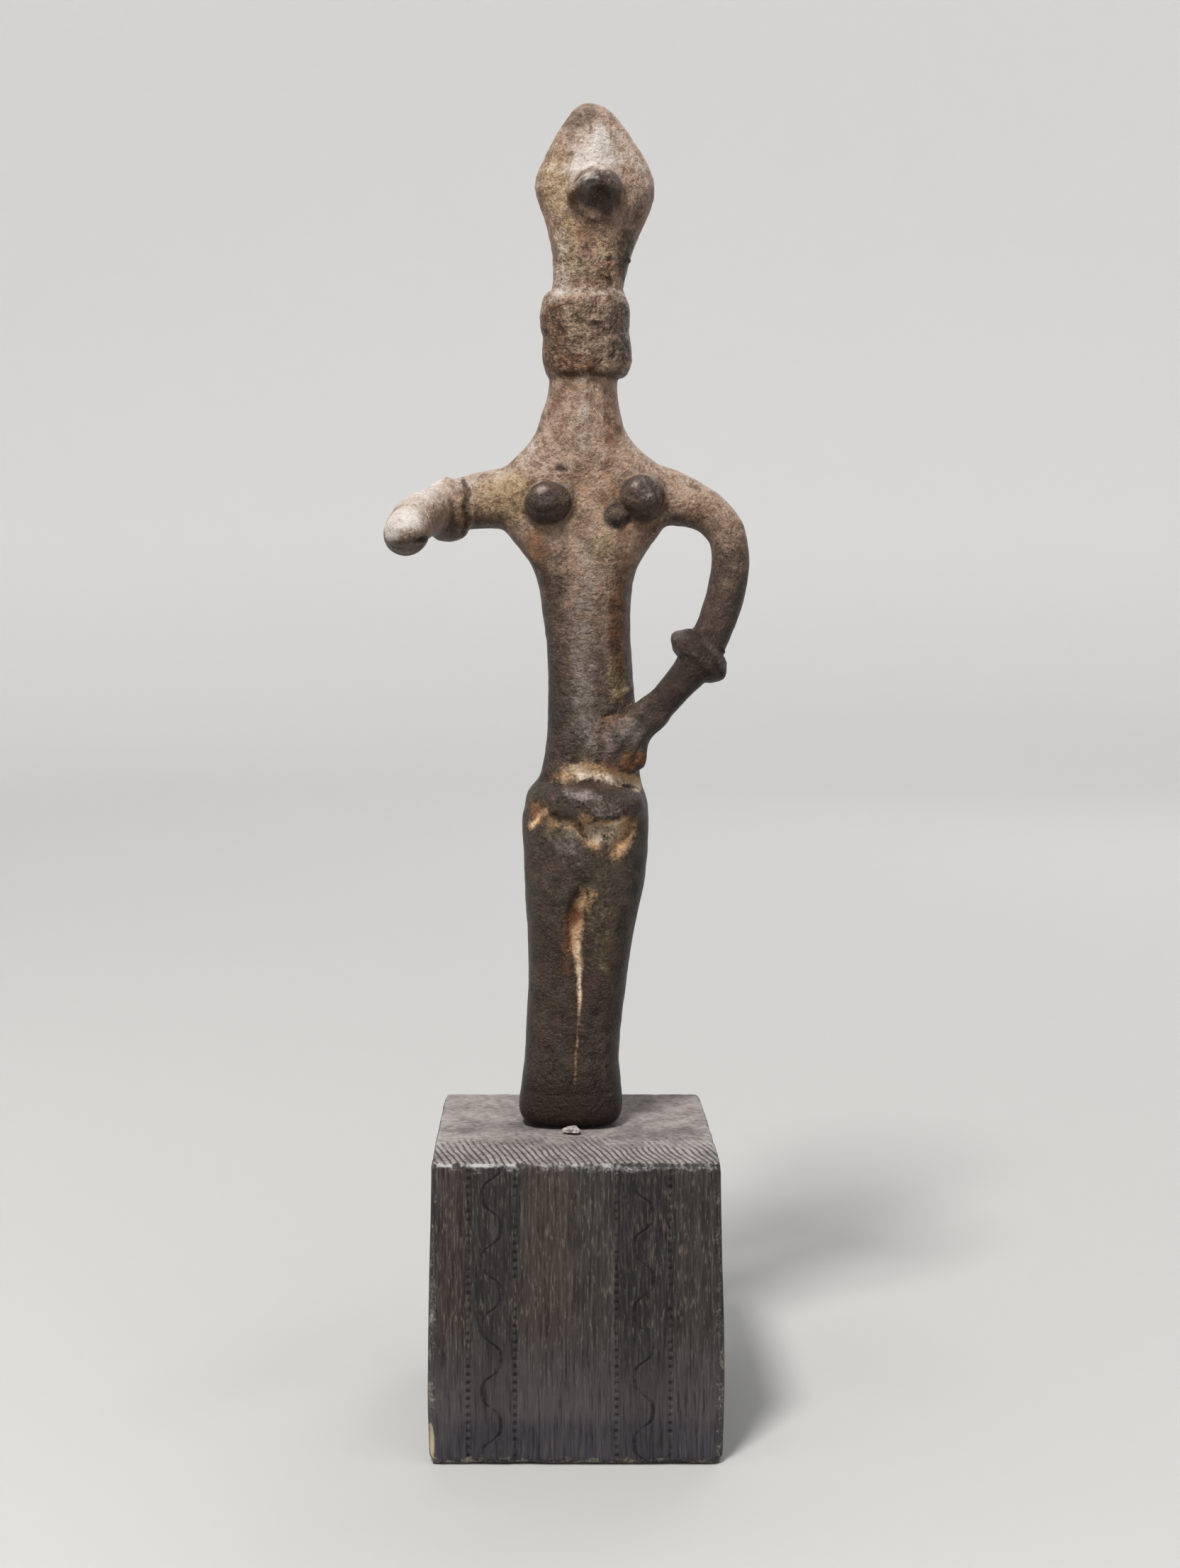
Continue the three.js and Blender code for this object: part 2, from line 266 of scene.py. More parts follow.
# The ends of the belly roll run out into the hips, and the broken end has no crisp rim.
melt = np.zeros(len(heavy))
for centre, radii in (
    ((-4.4, -1.0, 32.8), (2.6, 6.0, 3.6)),
    ((8.3, -1.0, 32.6), (2.4, 6.0, 3.4)),
    ((1.6, -4.2, 77.2), (4.6, 3.2, 1.7)),
):
    melt = strongest(melt, ease(spot(heavy, centre, radii) * 2.2))
trunk = ease(-np.abs(heavy[:, 0] - 1.2), -8.0, -6.6)
for low, high in ((4.0, 22.0), (40.0, 54.0)):
    melt = strongest(melt, 0.85 * trunk * between(height, low, low + 3, high - 3, high))
form = form + melt[:, None] * (melted - form)
blunt = ease(spot(heavy, STUMP, (3.8, 3.8, 3.4)) * 2.2)
form = form + blunt[:, None] * (relaxed(melted, idol_edges, rounds=110) - form)
put_points(idol.data, form * HUNDREDTH + foot)
print(f"clay skin: {len(form)} points, creases kept on {keep.mean():.0%} of it")

# %% [markdown]
# ## Sculpting the cast
# Each feature is a brush: a soft spot or stroke that pushes the skin in or out along its normals. The
# strokes are drawn as seen from the front, so they act only where the skin faces the viewer.

# %% Make the brushes
normal = normals_of(idol.data)
flat = form[:, [0, 2]]
facing = ease(-normal[:, 1], 0.05, 0.5)
push = np.zeros(len(form))
drag = np.zeros((len(form), 3))


def press(path, depth, only=1.0):
    """Carves a stroke into the front. A negative depth raises a ridge."""
    global push
    push -= depth * stroke(flat, path) * facing * only


def swell(centre, radii, rise):
    """Raises a soft lump, or sinks a pit where the rise is negative."""
    global push
    push += rise * spot(form, centre, radii)


def nudge(centre, radii, by):
    """Drags a soft region of the skin by a small vector."""
    global drag
    drag += spot(form, centre, radii)[:, None] * np.array(by)


def print_reach():
    high, deep = np.array([push.max(), -push.min()]) * HUNDREDTH / MM
    print(f"features raise the skin up to {high:.2f} mm and cut {deep:.2f} mm")


print(f"{facing.mean():.0%} of the skin faces the viewer")

# %% Sculpt the legs, the groin and the belly
# The parting of the legs, wide above and a hairline below, between two low lips
PARTING = [
    (1.4, 22.9, 0.6),
    (0.55, 20.9, 1.05),
    (0.5, 18.9, 0.85),
    (0.64, 16.8, 0.65),
    (0.85, 14.5, 0.4),
    (0.85, 12.1, 0.28),
    (0.7, 9.4, 0.25),
    (0.45, 6.6, 0.22),
    (0.37, 4.3, 0.2),
]
press([(x, z, w * 1.4 + 1.3) for x, z, w in PARTING[:5]], 0.12)
press(PARTING[:5], 0.16)
press(PARTING[4:], 0.12)
press([(0.4, 24.0, 0.4), (1.4, 23.8, 0.5), (2.4, 24.1, 0.4)], 0.1)
press([(1.6, 23.3, 0.5), (2.4, 23.0, 0.7), (2.8, 22.2, 0.4)], -0.12)
press([(-0.6, 25.4, 0.9), (1.0, 25.6, 1.3), (2.0, 25.4, 0.8)], -0.14)

# The folds of the groin under the belly roll, and the mound between them
GROIN_RIGHT = [(1.3, 29.7, 0.9), (1.8, 28.7, 1.0), (2.2, 27.7, 0.8), (2.6, 26.4, 0.6)]
GROIN_LEFT = [(5.4, 29.6, 0.9), (5.0, 28.6, 1.1), (4.5, 27.2, 0.9), (4.0, 25.8, 0.7)]
press(GROIN_RIGHT, 0.2)
press(GROIN_LEFT, 0.24)
swell((3.3, -4.4, 28.0), (1.2, 1.6, 1.6), 0.12)
swell((0.2, -4.4, 27.6), (1.6, 1.4, 2.2), 0.12)

# The pocket at the right end of the belly roll, and the roll's sagging lower edge
POCKET = (-3.3, -3.4, 30.5)
swell(POCKET, (1.4, 2.2, 1.5), -0.4)
press([(-2.7, 29.3, 0.45), (-2.1, 30.2, 0.5), (-1.6, 31.0, 0.4)], -0.14)
swell((1.4, -5.4, 30.2), (3.0, 1.6, 1.3), 0.22)
swell((6.4, -4.4, 30.2), (2.0, 1.6, 1.3), 0.12)
press([(-2.6, 33.6, 0.6), (0.0, 34.2, 0.9), (3.0, 34.3, 1.0), (5.8, 33.8, 0.9)], 0.24)
press([(-1.6, 33.3, 0.3), (2.0, 33.6, 0.3), (6.2, 33.1, 0.3)], 0.14)

print_reach()

# %% Sculpt the hand and the face
# The hand: a crease along its upper edge, the web to the waist, two faint finger grooves
press([(8.4, 42.2, 0.35), (6.6, 41.4, 0.4), (4.9, 40.4, 0.45), (3.4, 39.9, 0.3)], 0.26)
press([(8.0, 43.4, 0.6), (6.2, 42.6, 0.7), (4.4, 41.7, 0.5)], -0.2)
press([(5.6, 37.8, 0.4), (4.6, 36.0, 0.45), (4.4, 34.8, 0.3)], 0.12)
press([(6.9, 37.4, 0.35), (6.0, 35.6, 0.4), (5.4, 34.4, 0.3)], 0.14)
swell((3.0, -3.9, 38.2), (2.2, 1.4, 2.2), 0.14)

# The little finger's side runs close along the waist
swell((8.2, -2.4, 37.0), (2.0, 3.8, 2.8), -1.0)

# The face: a ridge down the forehead into the beak, a side lobe, and the crease under the tip
press([(2.2, 97.2, 0.9), (2.4, 95.2, 1.3), (2.6, 93.0, 2.0), (2.6, 91.6, 1.6)], -0.4)
press([(0.0, 96.0, 0.9), (-0.6, 93.2, 1.2), (-1.0, 90.2, 1.0)], 0.14)
press([(4.6, 96.0, 0.9), (5.4, 93.4, 1.2), (5.8, 90.6, 1.0)], 0.12)
press([(2.35, 92.2, 0.5), (2.3, 91.0, 0.55), (2.25, 89.6, 0.45)], -0.24)
press([(3.3, 91.6, 0.5), (3.8, 90.4, 0.5)], -0.12)
press([(2.7, 91.4, 0.35), (3.1, 90.4, 0.4), (2.9, 89.2, 0.35)], 0.2)
swell((0.2, -4.4, 90.0), (1.0, 1.8, 1.1), 0.4)
nudge((2.55, -6.0, 87.2), (3.6, 4.0, 3.4), (0.2, 0.2, 1.5))
nudge((2.5, -6.5, 89.4), (4.4, 4.6, 3.6), (0.0, 0.0, 1.3))
nudge((2.2, -6.0, 86.6), (3.2, 4.0, 2.6), (0.2, 0.5, 1.0))
nudge((2.4, -6.0, 91.6), (3.0, 3.4, 2.0), (0.0, -0.2, 0.4))
nudge((1.2, -5.6, 89.6), (1.8, 3.0, 2.0), (-0.3, 0.1, 0.5))
press([(0.9, 88.6, 0.3), (1.3, 89.4, 0.35), (1.5, 90.2, 0.25)], 0.16)
swell((4.9, -4.6, 88.4), (1.4, 2.2, 1.6), -0.45)
swell((0.4, -4.6, 87.2), (1.2, 2.0, 1.2), -0.4)
swell((1.3, -6.0, 87.8), (1.8, 3.2, 1.7), -0.8)
press([(1.7, 88.0, 0.22), (2.2, 87.3, 0.28), (2.9, 86.8, 0.2)], -0.2)
press([(1.4, 87.0, 0.3), (2.4, 86.2, 0.45), (3.4, 86.2, 0.3)], 0.16)

print_reach()

# %% Sculpt the pits, the neck and the collar
# Small casting pits
for x, z, wide, deep in (
    (-0.1, 94.5, 0.35, 0.14),
    (5.1, 95.0, 0.4, 0.14),
    (4.7, 95.6, 0.3, 0.1),
    (-3.1, 92.0, 0.4, 0.16),
    (6.3, 92.9, 0.45, 0.12),
    (6.9, 91.2, 0.35, 0.1),
    (5.2, 90.6, 0.3, 0.1),
    (-1.0, 63.9, 0.6, 0.26),
    (1.6, 62.2, 0.4, 0.1),
    (4.6, 55.0, 0.4, 0.12),
    (4.9, 50.2, 0.5, 0.14),
    (0.4, 58.0, 0.35, 0.08),
    (-2.4, 39.8, 0.4, 0.1),
    (-1.6, 24.0, 0.35, 0.08),
    (5.6, 21.0, 0.4, 0.08),
    (-3.0, 12.0, 0.4, 0.08),
):
    press([(x - 0.1, z, wide), (x + 0.1, z, wide)], deep)

# The neck's upright ridge, running out on the chest
press([(1.3, 72.6, 0.9), (1.2, 70.0, 1.0), (1.2, 67.0, 1.5), (1.3, 64.5, 2.2)], -0.26)
press([(-0.6, 71.6, 0.7), (-1.0, 68.6, 0.8)], 0.12)
press([(3.4, 71.6, 0.7), (3.8, 68.4, 0.8)], 0.14)

# The collar: a pinch at its right side, an arched upper lip, a sagging lower edge on the left
swell((-3.2, -1.6, 77.2), (1.3, 3.0, 0.7), -0.3)
swell((5.6, -1.8, 74.6), (1.8, 2.6, 1.3), 0.2)
swell((1.4, -4.0, 80.2), (3.0, 2.4, 1.2), 0.3)
press([(-2.6, 78.4, 0.4), (-1.6, 77.8, 0.5), (-0.4, 77.0, 0.4)], 0.12)
press([(-1.6, 76.2, 0.4), (-0.8, 75.2, 0.5), (0.4, 74.4, 0.4)], 0.12)
press([(2.4, 77.4, 0.3), (3.6, 77.0, 0.4), (5.0, 77.2, 0.3)], 0.08)
for x, z, size, rise in (
    (0.3, 79.2, 0.5, 0.16),
    (1.1, 78.5, 0.45, 0.14),
    (0.6, 77.4, 0.5, 0.14),
    (1.6, 76.6, 0.55, 0.16),
    (0.7, 75.8, 0.5, 0.14),
    (1.3, 79.9, 0.4, 0.12),
    (2.3, 80.3, 0.45, 0.14),
    (-1.7, 79.0, 0.45, 0.12),
    (2.2, 84.8, 0.5, 0.16),
    (2.9, 85.6, 0.45, 0.2),
    (3.6, 84.6, 0.5, 0.22),
    (3.2, 83.7, 0.45, 0.16),
    (2.6, 82.9, 0.5, 0.2),
    (3.5, 82.6, 0.4, 0.18),
    (0.9, 85.6, 0.45, 0.14),
    (0.6, 83.6, 0.6, 0.12),
    (-0.6, 85.0, 0.4, 0.12),
    (-0.9, 83.2, 0.4, 0.12),
    (5.6, 84.4, 0.4, 0.25),
):
    press([(x - 0.05, z, size), (x + 0.05, z, size)], -rise)

print_reach()

# %% Sculpt the breasts, the arm rings and the broken end
# The breasts: a groove round each, and flats and pinches where they were pressed on
for (x, _, z), wide, tall in ((BREAST_RIGHT, 2.7, 2.4), (BREAST_LEFT, 2.8, 2.6), (BREAST_LUMP, 1.1, 1.0)):
    turn = np.linspace(0, 2 * math.pi, 17)
    rim = [(x + wide * math.cos(a), z + tall * math.sin(a), 0.4) for a in turn]
    press(rim, 0.05)
swell((-2.4, -5.4, 60.9), (2.3, 3.0, 2.1), 0.5)
swell((6.7, -5.2, 61.5), (2.4, 3.0, 2.2), 0.5)
swell((4.4, -4.6, 59.3), (1.0, 2.0, 0.9), 0.25)
press([(-4.0, 61.6, 0.35), (-2.6, 62.0, 0.3), (-1.2, 61.2, 0.35)], 0.14)
press([(-2.9, 59.6, 0.3), (-1.6, 59.8, 0.35)], 0.16)
press([(5.0, 61.6, 0.35), (6.2, 61.0, 0.3), (7.4, 61.4, 0.3)], 0.14)
press([(7.2, 63.0, 0.3), (8.2, 61.8, 0.4), (8.6, 60.4, 0.3)], 0.16)
press([(5.4, 59.8, 0.3), (6.8, 59.4, 0.35)], 0.12)
swell((-0.5, -5.0, 61.3), (0.9, 1.6, 0.9), -0.35)
swell((-3.0, -5.2, 61.6), (1.1, 1.2, 0.9), 0.16)
swell((-2.0, -5.2, 59.4), (1.2, 1.2, 0.7), -0.16)
swell((6.0, -5.2, 62.4), (1.1, 1.4, 0.9), 0.2)
swell((8.2, -4.6, 60.2), (1.4, 1.6, 1.5), 0.12)
swell((7.4, -5.2, 62.6), (0.9, 1.4, 0.7), -0.2)

# The arm rings: an angular knob above, and the sharp ridge that stands on the left one
swell((10.0, -1.4, 47.8), (1.3, 2.4, 1.2), 0.55)
swell((14.9, -1.6, 43.6), (1.1, 2.4, 1.3), 0.35)
press([(11.4, 48.6, 0.3), (12.2, 47.4, 0.35), (12.6, 46.2, 0.3)], -0.22)
press([(13.4, 48.2, 0.22), (14.4, 46.6, 0.26), (15.7, 44.6, 0.26), (15.2, 43.0, 0.22)], -0.42)
press([(12.7, 47.6, 0.3), (13.7, 45.6, 0.4), (14.7, 43.9, 0.3)], 0.22)
press([(10.4, 46.6, 0.3), (11.4, 45.0, 0.35), (12.4, 43.8, 0.3)], -0.16)
swell((-12.2, -1.0, 63.0), (1.3, 1.6, 0.9), 0.3)
press(
    [(-10.5, 62.9, 0.3), (-9.9, 61.6, 0.4), (-10.2, 60.2, 0.6), (-9.9, 58.9, 0.5), (-10.5, 57.6, 0.35)],
    0.22,
)
press([(-11.6, 62.2, 0.4), (-11.2, 60.8, 0.7), (-11.5, 59.0, 0.6), (-11.9, 57.4, 0.4)], 0.08)
press([(-9.4, 62.0, 0.3), (-9.4, 60.0, 0.35), (-9.7, 58.4, 0.3)], -0.16)
press([(-8.4, 61.4, 0.6), (-7.6, 59.4, 0.6)], 0.1)

# The broken end: swollen, with a hollow and a crack across it, and a rounded lip above and below
swell((-15.6, -14.6, 56.8), (4.0, 4.4, 3.8), 0.5)
swell((-13.9, -15.0, 56.8), (1.3, 2.4, 1.0), -0.5)
swell((-15.4, -15.6, 55.2), (2.4, 2.4, 0.9), 0.3)
swell((-15.6, -15.6, 58.0), (1.8, 2.4, 0.9), 0.22)
press([(-12.7, 56.6, 0.25), (-13.6, 56.8, 0.4), (-14.5, 56.5, 0.3)], 0.36)

# A soft step where the foot spreads
press([(-4.4, 3.4, 0.3), (0.0, 3.2, 0.3), (5.0, 3.4, 0.3)], 0.08)
print_reach()

# %% [markdown]
# ## Cast skin
# Between the features the metal has its own unevenness: slow dents from the wax, wrinkles across the
# belly from the modeller's tool, grains of sand from the mould, and lumps of crust where it lay in the
# ground. The broken end of the forearm is rougher than the rest.

# %% Add the uneven skin
mm_points = form * HUNDREDTH / MM
wrinkle_zone = between(height, 34, 38, 52, 59) * ease(-np.abs(form[:, 0] - 1.2), -5.5, -2.5)
jaw_and_collar = between(height, 72, 74, 85, 88.5) * ease(-form[:, 1], -0.5, 1.5)
crust_zone = strongest(
    jaw_and_collar,
    0.5 * spot(form, (3.5, -3.5, 56.5), (4, 3, 4)),
    0.5 * spot(form, (2.0, -4.0, 37.5), (5, 3, 4)),
    0.4 * spot(form, (0.6, -3.6, 28.0), (4, 3, 4)),
)
break_zone = spot(form, STUMP, (3.6, 3.6, 3.2))
lump_zone = strongest(
    *(spot(form, centre, (4.0, 4.0, 3.6)) for centre in (BREAST_RIGHT, BREAST_LEFT, FACE_BOSS))
)
pebbles = np.maximum(noise(mm_points, 0.8, 15), -0.15) + 0.7 * np.maximum(noise(mm_points, 0.55, 17), 0)
skin_relief = (
    0.085 * noise(mm_points, 4.5, 11)
    + 0.055 * noise(mm_points, 1.9, 12)
    + 0.030 * noise(mm_points, 0.8, 13)
    + 0.034 * wrinkle_zone * noise(mm_points, np.array([1.8, 1.8, 0.75]), 14)
    + 0.230 * crust_zone * pebbles
    + 0.13 * lump_zone * noise(mm_points, 1.1, 19)
    + break_zone * (0.26 * noise(mm_points, 1.4, 16) + 0.10 * noise(mm_points, 0.7, 18))
)
moved = form + drag + normal * (push + skin_relief * MM / HUNDREDTH)[:, None]
world = moved * HUNDREDTH + foot
world = np.clip(world, np.array(idol_low), np.array(idol_high))
put_points(idol.data, world)
shade_smooth(idol.data)
print(f"{sum(len(face.vertices) - 2 for face in idol.data.polygons)} triangles on the figure")

# %% [markdown]
# ## Where earth, dust, wear, painted light and painted shade lie
# A finish that took centuries isn't even, and it isn't random either. Earth stays in hollows and under the
# belly roll, dust lies on what faces up, and hands have rubbed what stands proud. With them go painted light
# on what faces up and on ridges, painted highlights on what stands proud, and painted shade in hollows and on
# undersides. These places are worked out from the mesh itself and kept as masks on its points, for the
# material to read.

# %% Measure the sculpted skin
normal = normals_of(idol.data)
place = moved
flat = place[:, [0, 2]]
height = place[:, 2]
facing = ease(-normal[:, 1], -0.1, 0.4)
bend = ((relaxed(place, idol_edges, rounds=12) - place) * normal).sum(1)
bend = relaxed(bend, idol_edges, rounds=2)[:, 0]
hollow = ease(bend, 0.01, 0.09)
proud = ease(-bend, 0.01, 0.09)
patch = 0.5 + 0.5 * noise(place, 3.0, 21)
fleck = 0.5 + 0.5 * noise(place, 1.1, 22)


def laid(path, wider=1.0):
    return stroke(flat, [(x, z, w * wider) for x, z, w in path]) * facing


def patches(*rows):
    """The strongest of several soft patches. Each row: x, y, z, three radii, strength."""
    return strongest(
        *(power * ease(spot(place, (x, y, z), (a, b, c)) * 1.6) for x, y, z, a, b, c, power in rows)
    )


print(f"{hollow.mean():.0%} of the skin lies in hollows and {proud.mean():.0%} stands proud")

# %% Lay earth in the grooves
BELLY_GROOVE = [
    (-2.6, 33.8, 0.6),
    (-0.8, 34.3, 1.3),
    (1.2, 34.8, 1.6),
    (3.2, 34.6, 1.5),
    (5.0, 34.0, 1.3),
    (6.8, 33.2, 1.0),
]
earth = strongest(
    laid(PARTING[:6], 1.2) * ease(height, 9.0, 13),
    0.55
    * laid([(0.85, 14.5, 0.3), (0.85, 12.1, 0.25), (0.7, 9.4, 0.22), (0.45, 6.6, 0.2), (0.37, 4.3, 0.2)]),
    laid([(1.2, 23.2, 0.8), (2.0, 22.6, 0.9), (1.5, 21.4, 0.9)]) * 0.66,
    laid(BELLY_GROOVE) * ease(place[:, 0], -3.0, 0.2),
    laid(GROIN_RIGHT, 1.7) * ease(height, 25.0, 28.6),
    laid(GROIN_LEFT, 1.7) * ease(height, 24.6, 28.2),
    0.62 * patches((3.2, -4.0, 29.2, 3.8, 2.4, 1.3, 1.0)),
    laid([(1.4, 29.7, 0.6), (3.4, 29.5, 0.7), (5.4, 29.7, 0.6)]) * 0.8,
    patches((*POCKET, 1.9, 2.6, 2.0, 0.5), (-1.8, -3.6, 29.6, 1.8, 2.0, 1.2, 0.4)),
    0.62 * laid([(-3.9, 29.2, 0.7), (-3.0, 30.1, 0.6), (-2.4, 31.0, 0.5)]),
    0.5 * patches((0.2, -4.0, 29.6, 2.2, 2.2, 0.9, 1.0)),
    patches((2.4, -3.6, 62.6, 3.0, 2.6, 3.2, 0.3), (3.9, -3.6, 61.0, 1.4, 2.6, 3.0, 0.35)),
    patches((-3.6, -2.8, 56.4, 2.0, 2.6, 3.2, 0.42), (5.4, -2.8, 56.4, 1.8, 2.6, 4.2, 0.40)),
    0.36 * patches((4.4, -4.0, 35.1, 2.6, 2.8, 1.3, 1.0)),
    patches((0.6, -3.2, 71.8, 3.4, 2.6, 0.7, 0.3)),
    0.3 * hollow * ease(height, 26, 40),
)
earth = np.clip(earth * (0.72 + 0.5 * fleck), 0, 1)

# Not all the earth has one colour: 0 is rust brown, the middle is tan, 1 is nearly white. Under the belly
# roll it is painted paler, as painted light where the roll shades it.
clay = (
    0.5
    + 0.16 * noise(place, 0.9, 23)
    + 0.55 * laid([(1.2, 34.0, 0.9), (3.4, 33.8, 1.0), (5.4, 33.2, 0.8), (6.8, 32.7, 0.6)])
    + 0.22 * patches((0.6, -4.0, 34.6, 2.6, 2.4, 1.2, 1.0), (0.9, -4.0, 15.0, 1.2, 2.4, 4.6, 1.0))
    # painted light under the belly roll, where the roll shades the earth
    + 0.30 * patches((3.4, -4.0, 28.8, 3.6, 2.4, 2.0, 1.0), (0.6, -4.0, 17.6, 1.2, 2.4, 2.0, 0.6))
    - 0.36 * patches((5.2, -4.4, 35.4, 3.0, 2.8, 1.5, 1.0), (*POCKET, 2.2, 2.6, 2.0, 0.7))
    + 0.20 * laid([(0.75, 16.0, 0.6), (0.85, 14.0, 0.6), (0.85, 11.0, 0.5), (0.7, 8.0, 0.5)])
    - 0.40 * patches((0.4, -4.0, 20.6, 1.2, 2.4, 1.9, 1.0))
    - 0.25 * ease(height, 42, 50)
    + 0.35 * laid([(-3.7, 29.3, 0.35), (-2.9, 30.2, 0.4), (-2.3, 31.0, 0.35)])
)

print(f"earth on {(earth > 0.5).mean():.1%} of the skin")

# %% Wear down what stands proud
boss = ease(spot(place, FACE_BOSS + np.array([0.1, 0, 1.5]), (3.5, 4.2, 3.5)) * 2.2)
boss *= ease(-height, -93.4, -91.6)
pellet_zone = strongest(
    ease(spot(place, BREAST_RIGHT + np.array([0, -1.4, 0]), (3.6, 3.2, 3.4)) * 3.6),
    ease(spot(place, BREAST_LEFT + np.array([0, -1.4, 0]), (3.7, 3.2, 3.5)) * 3.6),
    0.9 * ease(spot(place, BREAST_LUMP, (1.8, 2.4, 1.7)) * 3.4),
)
worn = strongest(
    boss,
    pellet_zone,
    laid([(-1.4, 32.2, 1.3), (1.0, 31.8, 1.9), (4.4, 31.3, 2.0), (7.0, 31.4, 1.8)]) * 1.2,
    patches((1.8, 0, 99.4, 2.4, 3.0, 0.9, 0.4)),
    patches((10.2, -2.6, 47.6, 1.8, 2.5, 1.6, 0.4), (14.4, -2.6, 44.4, 2.0, 2.5, 2.0, 0.45)),
    0.35 * proud * ease(-height, -60, -45),
)
worn = np.clip(worn, 0, 1) * (1 - 0.8 * earth * (1 - pellet_zone))
# The beak's upper left is painted paler than its tip, as painted light where the sculpted beak lies in its
# own shade, and it has a red rim.
beak_painted_light = patches((1.5, -6.6, 90.6, 2.2, 3.2, 2.8, 1.0), (3.2, -6.6, 92.8, 2.0, 3.0, 1.1, 0.9))
beak_rim = patches((-0.1, -5.0, 90.2, 0.8, 3.0, 1.7, 1.0))
worn *= 1 - np.clip(0.78 * beak_painted_light + 0.8 * beak_rim, 0, 1)

# Half-bright grey metal where a hand rubs without reaching the hollows, and painted highlights and glints on
# the middle of the belly, the belly roll, the beak, the breasts, the hand and the arm rings
grey = strongest(
    0.75 * laid([(1.6, 58.0, 1.6), (1.4, 52.0, 2.3), (1.2, 46.0, 2.5), (1.4, 40.0, 2.8), (2.4, 36.6, 2.2)]),
    0.9 * laid([(-0.4, 32.6, 0.8), (1.4, 32.5, 1.1), (2.6, 32.2, 0.8)]),
    0.7
    * patches(
        (0.2, -4.0, 28.0, 2.8, 2.6, 2.6, 0.9),
        (5.4, -4.0, 38.6, 3.0, 2.6, 2.0, 1.0),
        (3.4, -4.0, 37.6, 2.4, 2.6, 2.0, 0.8),
    ),
    patches((1.4, -6.6, 91.4, 2.0, 3.0, 2.0, 1.0), (3.4, -6.6, 92.2, 1.6, 2.8, 0.9, 0.7)),
    patches(
        (-3.0, -6.0, 61.9, 1.7, 2.8, 1.1, 1.0),
        (6.0, -6.0, 62.5, 1.3, 2.8, 1.2, 1.0),
        (7.5, -6.0, 61.4, 0.9, 2.8, 1.0, 0.9),
    ),
    0.36 * laid([(12.6, 60.0, 0.7), (14.6, 57.0, 0.8), (15.0, 53.0, 0.7), (13.8, 49.0, 0.6)]),
    0.6 * patches((10.4, -2.6, 47.8, 1.2, 2.4, 0.9, 1.0), (14.7, -2.6, 45.2, 0.9, 2.4, 1.4, 1.0)),
    0.3 * ease(noise(place, 3.4, 24), 0.1, 0.7) * ease(-height, -36, -30),
    0.7 * patches((2.0, -1.6, 98.6, 3.2, 3.4, 1.5, 1.0), (-0.6, -2.0, 96.6, 1.8, 3.0, 2.0, 0.7)),
    0.7 * patches((7.0, -2.0, 91.0, 2.2, 3.0, 3.4, 0.8), (5.4, -3.0, 77.6, 2.2, 3.0, 3.4, 0.5)),
)

print(f"bare metal on {(worn > 0.5).mean():.1%} of the skin")

# %% Dust what faces up, and paint light there
upper = ease(height, 38, 63)
ledge = ease(normal[:, 2], 0.1, 0.75)
forearm = ease(-place[:, 0], 10.4, 11.6) * ease(height, 50, 56)
# Painted light with the dust on the top of the forearm.
forearm_top = forearm * ease(-place[:, 0], 11.6, 13.4)
forearm_top *= ease(normal[:, 2] - normal[:, 0] * 0.5 - normal[:, 1] * 0.15, 0.0, 0.8)
# Painted light and dust on the forehead ridge, which faces up into the light.
ridge = laid([(2.9, 97.0, 1.3), (3.0, 95.6, 2.6), (2.7, 94.0, 3.7), (2.4, 92.8, 4.0)])
apex = patches((0.8, -1.6, 98.2, 2.9, 3.6, 1.7, 1.0), (-0.6, -2.0, 96.4, 1.4, 3.0, 1.6, 0.6))
collar = between(height, 73.0, 74.6, 78.8, 80.2)
# Painted light on the broken end, which faces down away from the key light.
stump_top = ease(spot(place, (-15.6, -13.4, 58.4), (3.6, 4.4, 2.6)) * 2.0)
stump_lip = ease(spot(place, (-15.6, -15.4, 55.0), (2.6, 2.4, 0.9)) * 1.6)
# Dust together with painted light: highlights on the ridges of the head, neck and collar, and light on what
# faces up.
dust = np.clip(
    1.1 * ridge
    + 0.5 * beak_painted_light
    + 0.42 * laid([(4.6, 96.6, 1.0), (6.4, 94.4, 1.2), (7.6, 92.2, 1.0)])
    + 0.34 * laid([(0.9, 96.4, 1.6), (0.3, 94.0, 2.0), (0.2, 91.8, 1.4)])
    + 0.36 * ledge * upper * (0.4 + 0.7 * patch)
    + 0.48 * forearm_top
    + 0.55 * stump_top
    + 0.55 * stump_lip
    + 0.8 * patches((-16.8, -15.0, 56.8, 1.7, 3.0, 1.8, 1.0))
    + 0.45 * laid([(1.3, 72.4, 0.8), (1.2, 69.0, 1.0), (1.2, 66.0, 1.6)])
    + 0.40 * laid([(-0.9, 87.0, 1.0), (-0.9, 81.6, 1.2)])
    + 0.40
    * laid([(-2.6, 80.0, 0.5), (-1.2, 80.9, 0.6), (1.4, 81.2, 0.6), (4.2, 80.7, 0.6), (5.2, 79.6, 0.4)])
    + 0.25 * patch * upper * ease(-place[:, 0], -3, 2) * ease(height, 58, 62),
    0,
    1,
) * (1 - worn) * (1 - 0.8 * apex) * (1 - 0.75 * collar)

print(f"dust on {(dust > 0.5).mean():.1%} of the skin")

